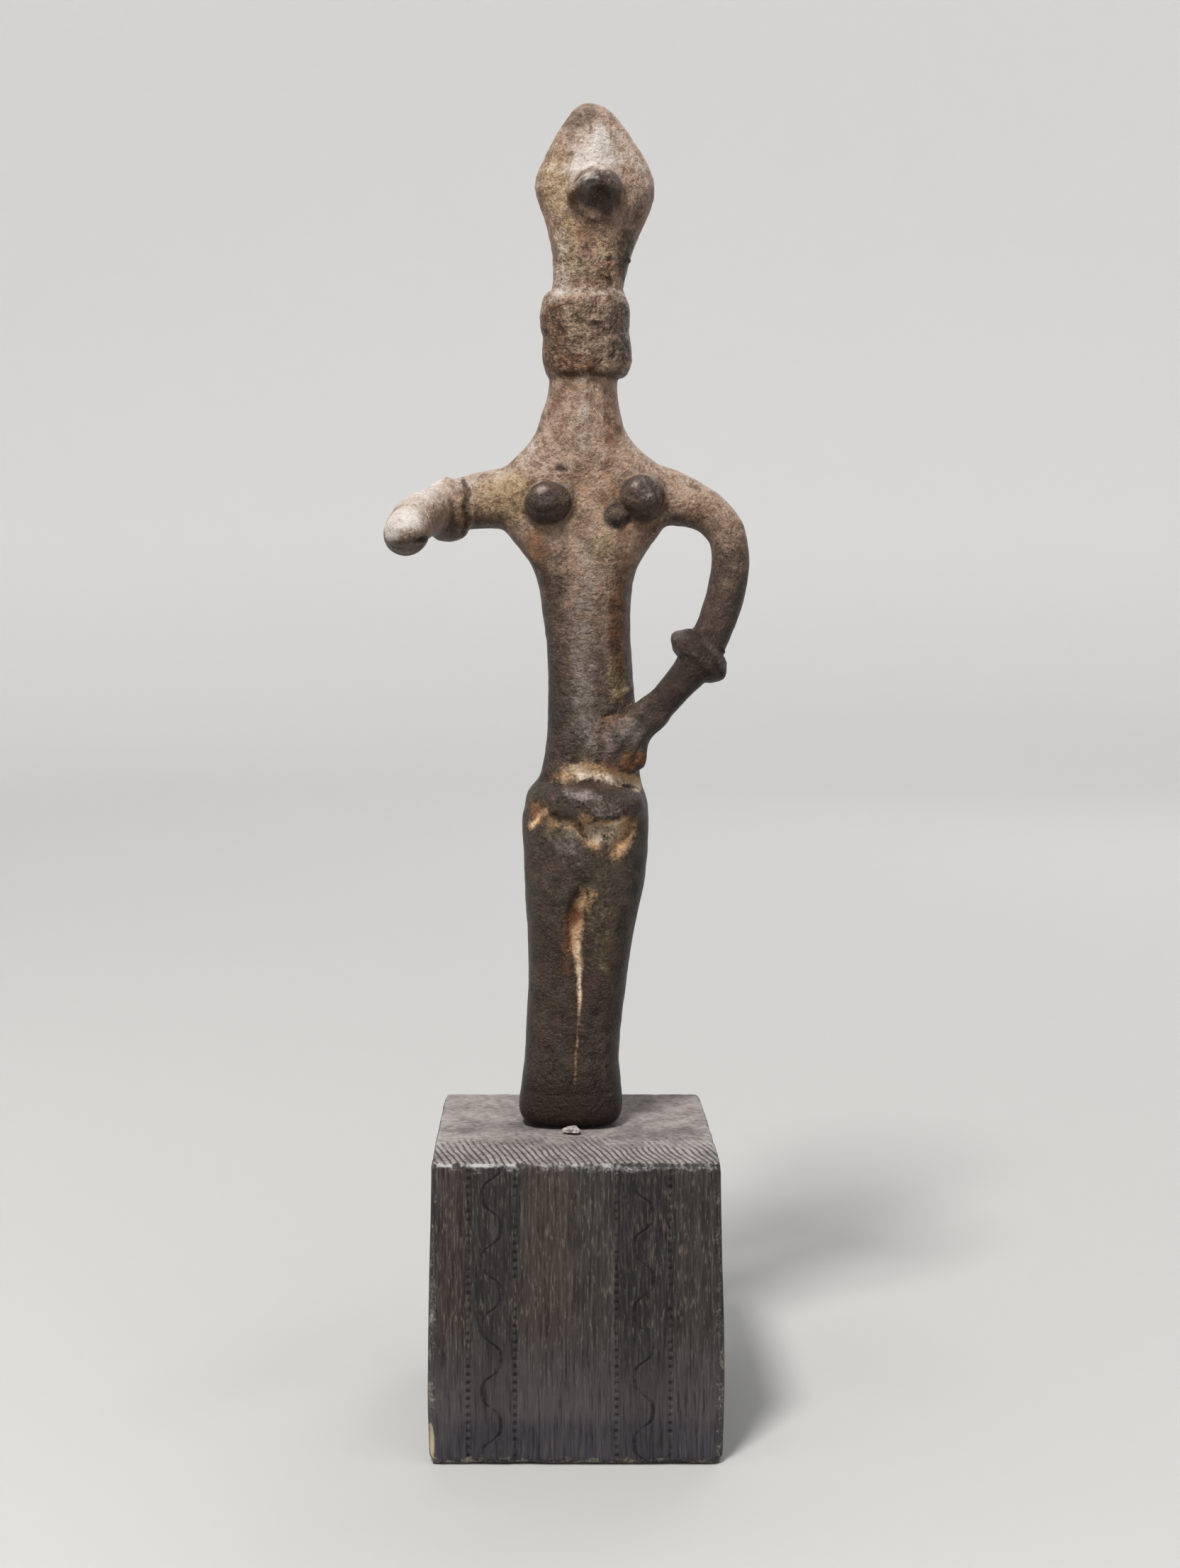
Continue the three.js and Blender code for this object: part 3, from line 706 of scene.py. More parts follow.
# %% Tint the films and shade the undersides
verdigris = np.clip(
    patches(
        (3.4, -3.6, 85.6, 1.9, 2.6, 1.9, 0.9),
        (1.0, -3.4, 83.0, 2.0, 2.6, 1.8, 0.6),
        (-0.6, -3.0, 86.6, 1.3, 2.6, 3.2, 0.4),
        (1.0, -4.4, 78.6, 2.2, 2.6, 2.2, 0.6),
        (4.6, -3.0, 75.6, 1.8, 2.6, 1.6, 0.4),
        (2.9, -3.6, 56.4, 2.4, 2.6, 2.4, 0.5),
        (-6.0, -2.6, 59.4, 3.0, 2.6, 2.2, 0.35),
        (-10.4, -2.4, 60.4, 1.4, 2.6, 2.6, 0.7),
        (4.7, -3.0, 42.6, 1.8, 2.6, 2.8, 0.6),
        (-1.2, -4.0, 29.0, 2.4, 2.2, 1.8, 0.5),
        (3.0, -3.8, 20.0, 2.2, 2.6, 7.5, 0.45),
        (0.4, -3.2, 66.0, 2.4, 2.6, 2.4, 0.25),
    )
    * (0.6 + 0.6 * fleck),
    0,
    1,
) * (1 - 0.7 * worn)

ochre = patches(
    (-1.6, -2.6, 92.0, 2.8, 3.0, 5.6, 0.95),
    (-0.6, -3.0, 86.0, 2.2, 3.0, 4.6, 0.8),
    (-6.2, -2.4, 61.4, 5.0, 3.2, 4.0, 1.0),
    (2.0, -3.4, 58.0, 5.0, 3.0, 6.0, 0.35),
    (0.6, -4.4, 77.2, 2.0, 2.6, 2.6, 0.45),
    (4.6, -2.8, 44.0, 1.8, 3.0, 5.0, 0.4),
)
rust = (0.62 + 0.5 * patch) * patches(
    (-2.0, -3.0, 77.0, 2.4, 3.4, 5.0, 1.1),
    (0.0, -3.0, 74.0, 4.6, 3.4, 2.0, 1.1),
    (4.6, -2.8, 48.6, 1.6, 3.0, 9.0, 0.85),
    (-3.4, -2.6, 55.4, 2.0, 3.0, 5.0, 0.75),
    (-1.4, -2.4, 69.4, 1.3, 3.0, 4.6, 0.55),
    (4.2, -2.4, 68.4, 1.7, 3.0, 5.0, 0.7),
    (3.6, -3.6, 62.4, 1.8, 2.6, 4.6, 0.55),
    (7.4, -2.0, 57.6, 4.4, 3.0, 2.4, 0.6),
    (12.4, -1.6, 58.0, 3.4, 3.4, 4.6, 0.45),
    (-10.4, -2.4, 59.6, 1.0, 2.6, 3.0, 0.7),
    (6.0, -4.0, 35.6, 2.2, 2.6, 1.6, 1.0),
    (3.0, -4.0, 38.4, 1.4, 2.6, 3.6, 0.6),
    (-2.8, -3.0, 44.0, 1.9, 2.8, 9.0, 0.7),
    (-2.6, -3.0, 52.0, 1.4, 2.6, 6.0, 0.5),
    (4.4, -3.6, 39.4, 2.2, 2.6, 1.6, 0.6),
    (-0.4, -3.6, 18.0, 0.8, 2.0, 6.0, 0.8),
    (-3.6, -3.4, 30.8, 2.2, 2.6, 2.2, 0.8),
    (1.2, -3.6, 30.2, 3.6, 2.6, 1.0, 0.5),
    (6.6, -2.6, 90.4, 2.4, 3.0, 3.6, 0.5),
    (-0.1, -4.2, 89.6, 0.9, 2.6, 1.2, 1.0),
    (1.6, -3.4, 86.6, 1.6, 2.4, 3.0, 0.8),
    (3.2, -3.2, 82.6, 2.6, 2.4, 2.4, 0.7),
)
shade = strongest(
    patches(
        (5.2, -2.6, 77.4, 3.4, 3.8, 5.4, 0.8),
        (-1.8, -3.2, 79.0, 1.0, 2.6, 0.9, 0.7),
        (5.6, -2.2, 84.4, 1.8, 3.4, 4.6, 0.85),
        (3.4, -5.8, 88.4, 2.0, 3.8, 2.8, 1.0),
        (2.3, -5.6, 87.7, 2.1, 3.8, 1.4, 1.0),
        (6.6, -2.2, 88.4, 2.2, 3.4, 3.0, 0.5),
        (0.8, -4.6, 87.6, 1.2, 2.0, 0.8, 0.6),
        (3.6, -3.2, 70.0, 0.9, 2.6, 3.2, 0.5),
        (3.3, -4.2, 27.6, 0.9, 2.0, 1.4, 0.5),
        (1.2, -4.8, 29.6, 1.8, 1.6, 0.6, 0.6),
    ),
    ease(-height, -6.4, -3.4),
    0.85 * ease(place[:, 0], 5.4, 9) * between(height, 38, 42, 54, 60),
    0.36 * ease(-height, -24, -20),
    0.45 * ease(place[:, 0], 2.6, 4.4) * between(height, 40, 43, 53, 57),
    0.5 * collar,
    0.56 * patches((0.7, -1.8, 98.2, 3.2, 3.8, 1.9, 1.0)),
    laid([(7.2, 40.2, 0.5), (6.0, 38.4, 0.9), (4.4, 36.4, 0.8)]) * 0.6,
    0.8 * laid([(-1.3, 64.0, 0.6), (-0.6, 63.8, 0.6)]),
    0.74 * ease(-place[:, 0], -0.5, 1.5) * between(height, 36, 40, 53, 58),
    0.5 * ease(place[:, 0], 4.4, 6.6) * ease(-height, -30, -28),
    0.75 * ease(-normal[:, 2], 0.25, 0.8),
    laid([(-10.5, 62.9, 0.4), (-9.9, 61.6, 0.5), (-10.2, 60.2, 0.7), (-9.9, 58.9, 0.6), (-10.5, 57.6, 0.5)]),
    0.7 * ease(spot(place, (-12.0, -2.4, 59.0), (2.2, 3.4, 3.8)) * 1.6),
    laid([(-12.7, 56.6, 0.5), (-13.6, 56.8, 0.7), (-14.6, 56.5, 0.4)]),
    0.8 * ease(-normal[:, 2] - normal[:, 1] * 0.3, 0.35, 0.8) * forearm * (1 - blunt),
)

print(f"rust on {(rust > 0.5).mean():.1%} of the skin, shade on {(shade > 0.5).mean():.1%}")

# %% Keep the masks on the mesh
BRONZE_MASKS = {
    "earth": earth,
    "clay": clay,
    "grey": grey,
    "crust": crust_zone,
    "worn": worn,
    "dust": dust,
    "verdigris": verdigris,
    "ochre": ochre,
    "rust": rust,
    "shade": shade,
    "hollow": hollow,
    "upper": upper,
    "wrinkled": wrinkle_zone,
}
for name, values in BRONZE_MASKS.items():
    put_mask(idol.data, name, values)
    print(f"mask {name}: mean {values.mean():.2f}")

# %% [markdown]
# ## The plinth
# The plinth is a sawn block of hardwood, stained dark, with soft corners. A cube of fine quads keeps its
# faces flat, and a formula rounds it: each point is pulled back to an inner box and then pushed out by
# the corner's radius. Then it is tapered a little, and its edges are chipped.

# %% Make the plinth's mesh
block_low, block_high = (np.array(corner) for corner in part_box("plinth"))
block_half = (block_high - block_low) / 2
block_middle = (block_high + block_low) / 2
CUTS = 90
CROWDING = 1.35
TOP_TAPER, FOOT_TAPER = 0.022, 0.010
TINY = 1e-6


def fine_cube(name, cuts):
    mesh = bpy.data.meshes.new(name)
    cube = bmesh.new()
    bmesh.ops.create_cube(cube, size=2)
    bmesh.ops.subdivide_edges(cube, edges=cube.edges[:], cuts=cuts, use_grid_fill=True)
    cube.to_mesh(mesh)
    cube.free()
    return placed(name, mesh)


plinth = fine_cube("wooden_plinth", CUTS)
unit = points_of(plinth.data)
# Rows of quads are drawn closer together towards the edges, where the form turns.
unit = np.sign(unit) * (1 - (1 - np.abs(unit)) ** CROWDING)
box_points = unit * block_half
mm_points = box_points / MM
upright_radius = 1.35 + 0.35 * noise(mm_points * [0, 0, 1] + np.sign(mm_points) * [9, 9, 0], 6.0, 31)
level_radius = np.where(mm_points[:, 2] > 0, 0.6, 1.0) + 0.2 * noise(mm_points, 3.0, 32)
side_inner = block_half[:2] / MM - upright_radius[:, None]
rounded = mm_points.copy()
inner = np.clip(mm_points[:, :2], -side_inner, side_inner)
outward = mm_points[:, :2] - inner
length = np.linalg.norm(outward, axis=1, keepdims=True)
corner = (length > TINY)[:, 0]
square = np.abs(outward).max(axis=1, keepdims=True)
rounded[corner, :2] = (inner + outward / np.maximum(length, TINY) * square)[corner]
# The same rounding between the sides and the top, and the underside
tall_inner = block_half[2] / MM - level_radius
over = np.abs(rounded[:, 2]) - tall_inner
wide = np.abs(rounded[:, :2]).max(axis=1)
side_in = block_half[0] / MM - level_radius
beside = wide - side_in
turn = (over > 0) & (beside > 0)
reach = np.hypot(over, beside)
shrink = np.where(turn, np.maximum(over, beside) / np.maximum(reach, TINY), 1)
new_over = np.where(turn, over * shrink, over)
new_wide = np.where(turn, side_in + beside * shrink, wide)
rounded[:, 2] = np.sign(rounded[:, 2]) * (tall_inner + new_over)
rounded[:, :2] *= (new_wide / np.maximum(wide, TINY))[:, None]
print(f"plinth {2 * block_half[0] / MM:.1f} mm wide, {len(plinth.data.polygons)} quads")

# %% [markdown]
# The block isn't true: it is narrower at the top than low down, and its edges have lost splinters. On the
# right of the front's top edge they leave a ragged line of notches. The left of that edge has a pale lip.

# %% Wear the plinth's edges
tall = (rounded[:, 2] + block_half[2] / MM) / (2 * block_half[2] / MM)
taper = 1 - TOP_TAPER * ease(tall, 0.3, 1.0) - FOOT_TAPER * ease(-tall, -0.25, 0)
rounded[:, :2] *= taper[:, None]
top = block_half[2] / MM
front = -block_half[1] / MM * 0.978
chips = np.zeros(len(rounded))
notch = np.random.default_rng(36)
rows = [(x, 0.35 + 0.5 * notch.random(), 0.2 + 0.35 * notch.random()) for x in np.arange(4.6, 16.8, 0.95)]
rows += [(-14.2, 0.6, 0.45), (-10.1, 0.3, 0.2), (-6.6, 0.75, 0.5), (-1.6, 0.35, 0.25), (1.9, 0.4, 0.3)]
for x, size, deep in rows:
    chips += deep * spot(rounded, (x, front, top), (size, 0.9, 0.8))
corner_loss = spot(rounded, (-17.3, front, -top + 2.6), (0.8, 1.1, 3.6))
splinter = spot(rounded, (-17.1, front, 10.1), (0.5, 0.9, 0.6))
edge_near = ease(np.sort(np.abs(rounded) - block_half / MM, axis=1)[:, 1], -1.7, -0.2)
ragged = 0.14 * edge_near * np.maximum(noise(rounded, 0.8, 33), 0)
inward = -rounded / np.linalg.norm(rounded, axis=1, keepdims=True)
rounded += inward * (chips + ragged + 0.6 * corner_loss + 0.3 * splinter)[:, None]
rounded += inward * (0.06 * (1 + noise(rounded, 6.0, 34)))[:, None] * np.array([1, 1, 0])
limit = block_half / MM
rounded = np.clip(rounded, -limit, limit)
put_points(plinth.data, rounded * MM + block_middle)
shade_smooth(plinth.data)
lip = ease(rounded[:, 2], top - 0.6, top - 0.25) * ease(-rounded[:, 1], -front - 0.6, -front - 0.2)
pale_lip = lip * ease(-rounded[:, 0], -5.5, -2.5) * (0.62 + 0.45 * noise(rounded, 1.3, 35))
pale_lip += lip * ease(rounded[:, 0], 4.0, 5.0) * 0.55 * np.maximum(noise(rounded, 0.7, 37), 0)
bare = pale_lip * (1 - ease(chips, 0.04, 0.2))
bare = strongest(bare, ease(corner_loss * 2.2), ease(splinter * 1.6), 0.34 * edge_near)
put_mask(plinth.data, "bare", bare)
put_mask(plinth.data, "notched", ease(chips, 0.03, 0.2))
print(f"{len(rows)} notches on the front edge")

# %% [markdown]
# ## The dab of adhesive
# Adhesive that was squeezed out and set is a low bead with lumps, flat beneath, with no sharp edge. An
# icosphere with soft noise is enough, drawn down flat against the wood.

# %% Make the adhesive bead
dab_low, dab_high = (np.array(corner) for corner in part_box("adhesive_dab"))
bead = bmesh.new()
bmesh.ops.create_icosphere(bead, subdivisions=5, radius=1)
bead_mesh = bpy.data.meshes.new("adhesive_bead")
bead.to_mesh(bead_mesh)
bead.free()
adhesive = placed("adhesive_bead", bead_mesh)
ball = points_of(bead_mesh)
# The bead is fullest to the right and thins out to a tail on the left.
tail = ease(ball[:, 0], -1.0, 0.4)
lumps = 0.74 + 0.22 * noise(ball, 0.8, 41) + 0.10 * noise(ball, 0.3, 42)
ball = ball * lumps[:, None] * np.stack([np.ones(len(ball)), 0.5 + 0.5 * tail, 0.35 + 0.65 * tail], axis=1)
ball[:, 2] = np.where(ball[:, 2] < -0.2, -0.2 + 0.08 * (ball[:, 2] + 0.2), ball[:, 2])
ball = (ball - ball.min(0)) / (ball.max(0) - ball.min(0)) * [1.0, 1.0, 0.72]
put_points(bead_mesh, dab_low + ball * (dab_high - dab_low))
shade_smooth(bead_mesh)
print(f"bead {(dab_high - dab_low)[0] / MM:.1f} mm wide")

# %% [markdown]
# ## Node helpers
# A material is a tree of nodes, and code for one soon fills with the names of nodes. Here a node's output
# is a wire, and a sum with wires is written as a sum: it makes a Math node in the same tree. All textures
# are measured in millimetres on the piece itself.

# %% Helpers for node trees
class Wire:
    """A node's output. A sum with it makes a Math node in its tree, and gives that node's output."""

    def __init__(self, socket):
        self.socket, self.tree = socket, socket.id_data

    def __add__(self, other):
        return maths("ADD", self, other)

    def __radd__(self, other):
        return maths("ADD", other, self)

    def __sub__(self, other):
        return maths("SUBTRACT", self, other)

    def __rsub__(self, other):
        return maths("SUBTRACT", other, self)

    def __mul__(self, other):
        return maths("MULTIPLY", self, other)

    def __rmul__(self, other):
        return maths("MULTIPLY", other, self)

    def __truediv__(self, other):
        return maths("DIVIDE", self, other)


def wires_of(sockets):
    """Wires for a node's outputs, by number and by name."""
    wires = [Wire(socket) for socket in sockets]
    return dict(enumerate(wires)) | {wire.socket.name: wire for wire in reversed(wires)}


def feed(tree, socket, value):
    """Links a wire to an input, or sets the input to a plain value. A colour gets its alpha here."""
    if isinstance(value, Wire):
        tree.links.new(value.socket, socket)
    else:
        socket.default_value = (*value, 1.0) if socket.type == "RGBA" else value


def add(kind, inputs, tree=None, **settings):
    """A new node, by default in the tree of its inputs' first wire. Gives its outputs as wires."""
    tree = tree or next(value.tree for value in inputs.values() if isinstance(value, Wire))
    made = tree.nodes.new("ShaderNode" + kind)
    for name, value in settings.items():
        setattr(made, name, value)
    for name, value in inputs.items():
        feed(tree, made.inputs[name], value)
    return wires_of(made.outputs)


def maths(operation, *values, clamp=False):
    return add("Math", dict(enumerate(values)), operation=operation, use_clamp=clamp)[0]


def mixed(factor, first, second):
    """A colour between two. The Mix node has sockets for every kind of data; these three go by number."""
    return add("Mix", {0: factor, 6: first, 7: second}, data_type="RGBA")[2]


def ramp(value, low, high, first=0.0, last=1.0, curve="LINEAR"):
    """Goes from `first` to `last` while the wire goes from `low` to `high`, and no further."""
    values = {"Value": value, "From Min": low, "From Max": high, "To Min": first, "To Max": last}
    return add("MapRange", values, interpolation_type=curve)["Result"]


def clouds(place, scale, detail=3.0, roughness=0.5):
    return add("TexNoise", {"Vector": place, "Scale": scale, "Detail": detail, "Roughness": roughness})[0]


def scaled(place, by):
    """The place with each axis times its own number. A texture read there is longest where that is least."""
    return add("VectorMath", {0: place, 1: by}, operation="MULTIPLY")["Vector"]


def bumped(height, strength, distance):
    return add("Bump", {"Height": height, "Strength": strength, "Distance": distance})["Normal"]


def in_millimetres(tree):
    here = add("TexCoord", {}, tree)["Object"]
    return add("VectorMath", {0: here, "Scale": 1 / MM}, operation="SCALE")["Vector"]


def mask_of(tree, name):
    return add("Attribute", {}, tree, attribute_name=name)["Fac"]


def new_group(name, sockets_in, sockets_out):
    """A node group of plain numbers. An input with no value of its own is a place."""
    tree = bpy.data.node_groups.new(name, "ShaderNodeTree")
    for label, value in sockets_in.items():
        kind = "NodeSocketVector" if value is None else "NodeSocketFloat"
        made = tree.interface.new_socket(label, in_out="INPUT", socket_type=kind)
        if value is not None:
            made.default_value = value
    for label in sockets_out:
        tree.interface.new_socket(label, in_out="OUTPUT", socket_type="NodeSocketFloat")
    start = tree.nodes.new("NodeGroupInput")
    end = tree.nodes.new("NodeGroupOutput")
    return tree, wires_of(start.outputs), end.inputs


def use_group(group, inputs):
    return add("Group", inputs, node_tree=group)


def new_material(name):
    material = bpy.data.materials.new(name)
    material.use_nodes = True
    tree = material.node_tree
    tree.nodes.clear()
    shader = tree.nodes.new("ShaderNodeBsdfPrincipled")
    output = tree.nodes.new("ShaderNodeOutputMaterial")
    tree.links.new(shader.outputs[0], output.inputs["Surface"])
    return material, tree, shader


def finish_material(mesh, material, shader, inputs):
    """Feeds the shader's inputs and gives the material to the mesh."""
    for name, value in inputs.items():
        feed(material.node_tree, shader.inputs[name], value)
    mesh.materials.append(material)
    print(f"{material.name}: {len(material.node_tree.nodes)} nodes")


# %% [markdown]
# ## Groups that all the materials share
# Three effects come back on every piece. Mottling is three noises that differ, each of two scales. A
# patchy film, such as dust, soil or a worn stain, is a mask whose edge one of these noises breaks up.
# Grain is a bump of fine noise with pits in it. Each is a node group, made once and given its own values.

# %% Build the mottling group
MOTTLES = ("First", "Second", "Third")
mottling, given, gives = new_group("mottling", {"Place": None, "Coarse": 0.5, "Fine": 2.5}, MOTTLES)
noises = []
for scale in ("Coarse", "Fine"):
    noise_node = add("TexNoise", {"Vector": given["Place"], "Scale": given[scale], "Detail": 3.0})
    noises.append(add("SeparateColor", {0: noise_node["Color"]}))
for number, label in enumerate(MOTTLES):
    feed(mottling, gives[label], 0.55 * noises[0][number] + 0.45 * noises[1][number])
print(f"{mottling.name}: {len(mottling.nodes)} nodes")

# %% Build the patchy film group
film, given, gives = new_group(
    "patchy film", {"Mask": 0.5, "Mottling": 0.5, "Raggedness": 0.6, "Hardness": 0.3}, ("Film",)
)
edge = given["Mask"] + (given["Mottling"] - 0.5) * given["Raggedness"] * 3.0
covered = ramp(edge, 0.5 - given["Hardness"], 0.5 + given["Hardness"], curve="SMOOTHSTEP")
# Where the mask is nearly 0 there is no film at all, whatever the noise says.
feed(film, gives["Film"], maths("MULTIPLY", covered, ramp(given["Mask"], 0.0, 0.16), clamp=True))


def film_of(mask, mottled, ragged=0.6, hard=0.3):
    values = {"Mask": mask, "Mottling": mottled, "Raggedness": ragged, "Hardness": hard}
    return use_group(film, values)["Film"]


print(f"{film.name}: {len(film.nodes)} nodes")

# %% Build the grain group
grain, given, gives = new_group(
    "grain", {"Place": None, "Size": 3.0, "Pits": 0.4, "Pit Size": 1.2}, ("Height", "Specks")
)
grit = clouds(given["Place"], given["Size"], 5.0, 0.62)
cells = add("TexVoronoi", {"Vector": given["Place"], "Scale": given["Pit Size"]}, feature="F1")["Distance"]
feed(grain, gives["Height"], grit - (1.0 - ramp(cells, 0.0, 0.32)) * given["Pits"])
feed(grain, gives["Specks"], ramp(grit, 0.56, 0.7))
print("groups:", [group.name for group in bpy.data.node_groups])

# %% [markdown]
# ## Bronze
# Old bronze is a stack of layers. At the bottom is dark brown metal, redder and greyer in patches, turning
# tan on the upper body, partly as a film and partly as painted light from above. On it lie a dry tan film,
# greenish crust on the neck, and orange earth in the hollows, and where it was rubbed the dark metal shows
# and shines softly. Some layers also paint light and shade: painted light on tops and ridges with the dust,
# painted highlights with the rubbed grey, and painted shade in hollows and on undersides. Each layer is a
# colour mixed in by a mask from the mesh, broken up with noise, and it sets the roughness and the metal share
# too.

# %% Lay the bronze's films
bronze, tree, shader = new_material("patinated bronze")
here = in_millimetres(tree)
masks = {name: mask_of(tree, name) for name in BRONZE_MASKS}
drift = use_group(mottling, {"Place": here, "Coarse": 0.62, "Fine": 2.7})
broad = use_group(mottling, {"Place": here, "Coarse": 0.16, "Fine": 0.5})
mottle, other_mottle = (film_of(0.5, drift[label], ragged=1.3, hard=0.5) for label in ("First", "Second"))

metal_brown = mixed(mottle, (0.018, 0.0105, 0.0076), (0.066, 0.045, 0.035))
metal_brown = mixed(0.5 * film_of(0.36, broad["First"], ragged=1.2), metal_brown, (0.052, 0.024, 0.016))
metal_brown = mixed(0.5 * film_of(0.40, broad["Second"], ragged=1.2), metal_brown, (0.040, 0.036, 0.021))
tan = mixed(mottle, (0.118, 0.066, 0.041), (0.345, 0.232, 0.166))
tan = mixed(0.45 * other_mottle, tan, (0.172, 0.134, 0.108))
# Paler towards the top: a tan film, and painted light from above, so the legs stay darker.
paint = mixed(masks["upper"], metal_brown, tan)

# The grey film is rubbed metal together with painted highlights and glints.
polish_highlight_film = film_of(masks["grey"], drift["Third"], ragged=0.9, hard=0.4)
polish_highlight_tone = mixed(other_mottle, (0.092, 0.071, 0.060), (0.300, 0.258, 0.238))
# The dust film also paints light on tops and ridges; where its mask is strongest it is a near-white painted
# highlight.
dust_and_light_film = film_of(masks["dust"], drift["First"], ragged=0.9, hard=0.5)
dust_and_light_tone = mixed(other_mottle, (0.225, 0.178, 0.142), (0.400, 0.358, 0.325))
dust_and_light_tone = mixed(0.6 * ramp(masks["dust"], 0.7, 1.1), dust_and_light_tone, (0.520, 0.505, 0.490))
lumps = clouds(here, 2.1, roughness=0.6)
for strength, tone in (
    (
        0.78 * film_of(masks["ochre"], drift["Second"], hard=0.4),
        mixed(mottle, (0.125, 0.074, 0.032), (0.320, 0.230, 0.130)),
    ),
    (
        0.78 * film_of(masks["rust"], drift["Third"], ragged=0.8, hard=0.4),
        mixed(other_mottle, (0.034, 0.012, 0.005), (0.185, 0.078, 0.034)),
    ),
    (0.4 * polish_highlight_film, polish_highlight_tone),
    (0.85 * dust_and_light_film, dust_and_light_tone),
    (
        0.62 * film_of(masks["verdigris"], drift["Second"], ragged=0.9, hard=0.5),
        mixed(mottle, (0.050, 0.038, 0.014), (0.210, 0.170, 0.085)),
    ),
    (0.8 * film_of(masks["shade"], drift["Third"], hard=0.45), (0.013, 0.0072, 0.0048)),
    # The lumps of the crust have pale tops and dark gaps.
    (0.32 * ramp(lumps, 0.52, 0.66) * masks["crust"], (0.330, 0.255, 0.170)),
    (0.7 * ramp(lumps, 0.47, 0.36) * masks["crust"], (0.040, 0.021, 0.012)),
):
    paint = mixed(strength, paint, tone)
print(f"{len(tree.nodes)} nodes for the dry films")

# %% Lay the earth, rub the metal bare and paint shade in the hollows
# The earth's tone runs from rust through tan to nearly white, with painted light under the belly roll.
earth_tone = mixed(ramp(masks["clay"], 0.12, 0.5), (0.125, 0.042, 0.016), (0.500, 0.315, 0.170))
earth_tone = mixed(ramp(masks["clay"], 0.55, 0.95), earth_tone, (0.740, 0.610, 0.470))
earth_tone = mixed(0.5 * (1.0 - other_mottle), earth_tone, (0.115, 0.052, 0.024))
earth_film = film_of(masks["earth"], drift["Third"], ragged=0.8, hard=0.45)

worn_film = film_of(masks["worn"], drift["First"], ragged=0.35, hard=0.4)
worn_tone = mixed(other_mottle, (0.010, 0.0070, 0.0066), (0.050, 0.036, 0.031))
worn_tone = mixed(0.5 * film_of(0.34, drift["Third"], ragged=1.4), worn_tone, (0.100, 0.056, 0.030))
# Painted highlights and glints on the bare dark metal.
worn_tone = mixed(0.75 * polish_highlight_film, worn_tone, polish_highlight_tone)

fine_grit = use_group(grain, {"Place": here, "Size": 5.0, "Pits": 0.25, "Pit Size": 2.0})
for strength, tone in (
    (0.92 * earth_film, earth_tone),
    (0.92 * worn_film, worn_tone),
    # painted shade in the hollows that hold no earth
    (0.65 * masks["hollow"] * (1.0 - earth_film), (0.014, 0.009, 0.007)),
    (fine_grit["Specks"] * (0.11 + 0.18 * masks["upper"]), (0.42, 0.33, 0.25)),
    (0.6 * ramp(fine_grit["Height"], 0.42, 0.25), (0.018, 0.011, 0.008)),
):
    paint = mixed(strength, paint, tone)
print(f"{len(tree.nodes)} nodes with the earth and the bare metal")

# %% Make the bronze material
coated = maths("MAXIMUM", dust_and_light_film, earth_film)
roughness = 0.37 + 0.36 * coated - 0.13 * maths("MAXIMUM", worn_film, polish_highlight_film)
grit = use_group(grain, {"Place": here, "Size": 2.2, "Pits": 0.35, "Pit Size": 0.9})
# Fine wrinkles lie across the belly, where the modeller drew a tool round it.
wrinkles = clouds(scaled(here, (0.7, 0.7, 1.5)), 1.25)
relief = grit["Height"] + 0.5 * fine_grit["Height"]
relief = relief + 1.6 * (lumps * masks["crust"]) + 0.9 * (wrinkles * masks["wrinkled"])
finish_material(
    idol.data,
    bronze,
    shader,
    {
        "Base Color": paint,
        "Roughness": maths("ADD", roughness, 0.10 * fine_grit["Height"], clamp=True),
        "Metallic": 0.4 * (1.0 - coated),
        "Specular IOR Level": 0.25,
        "Normal": bumped(relief, 0.9, 0.36 * MM),
    },
)

# %% [markdown]
# ## Stained wood
# The plinth has two kinds of surface. Its sides are long grain: fine upright fibres, pale where the
# stain has rubbed off them. Its top is end grain, paler, with the slanting marks of the saw. Down the
# front run two bands of an old ornament, each a waving line between two rows of dots, dark and shallow.

# %% Build the ornament band group
BAND_INPUTS = {"X": 0.0, "Z": 0.0, "Middle": 0.0, "Half Width": 2.8, "Wave": 1.1, "Period": 7.4, "Start": 0.0}
FLATNESS, DOT_PITCH = 1.5, 0.95
band, given, gives = new_group("ornament band", BAND_INPUTS, ("Line", "Inside"))


def thin_line(distance, half, soft):
    """1 where the distance is under the half width, fading out over `soft`."""
    return ramp(maths("ABSOLUTE", distance), half, half + soft, 1.0, 0.0, "SMOOTHSTEP")


def sine(value):
    return maths("SINE", value * (2 * math.pi))


across = given["X"] - given["Middle"]
# A sine that is pressed flat at its turns gives the round bights of the old line.
round_wave = maths("TANH", sine((given["Z"] - given["Start"]) / given["Period"]) * FLATNESS)
wave_line = thin_line(across - round_wave * (given["Wave"] / math.tanh(FLATNESS)), 0.09, 0.26)
to_border = maths("ABSOLUTE", across) - given["Half Width"]
dots = thin_line(to_border, 0.06, 0.34) * ramp(sine(given["Z"] * (1 / DOT_PITCH)), -0.6, 0.9)
feed(band, gives["Line"], maths("MAXIMUM", wave_line, dots))
feed(band, gives["Inside"], ramp(to_border, -0.2, 0.2, 1.0, 0.0))
print(f"{band.name}: {len(band.nodes)} nodes")

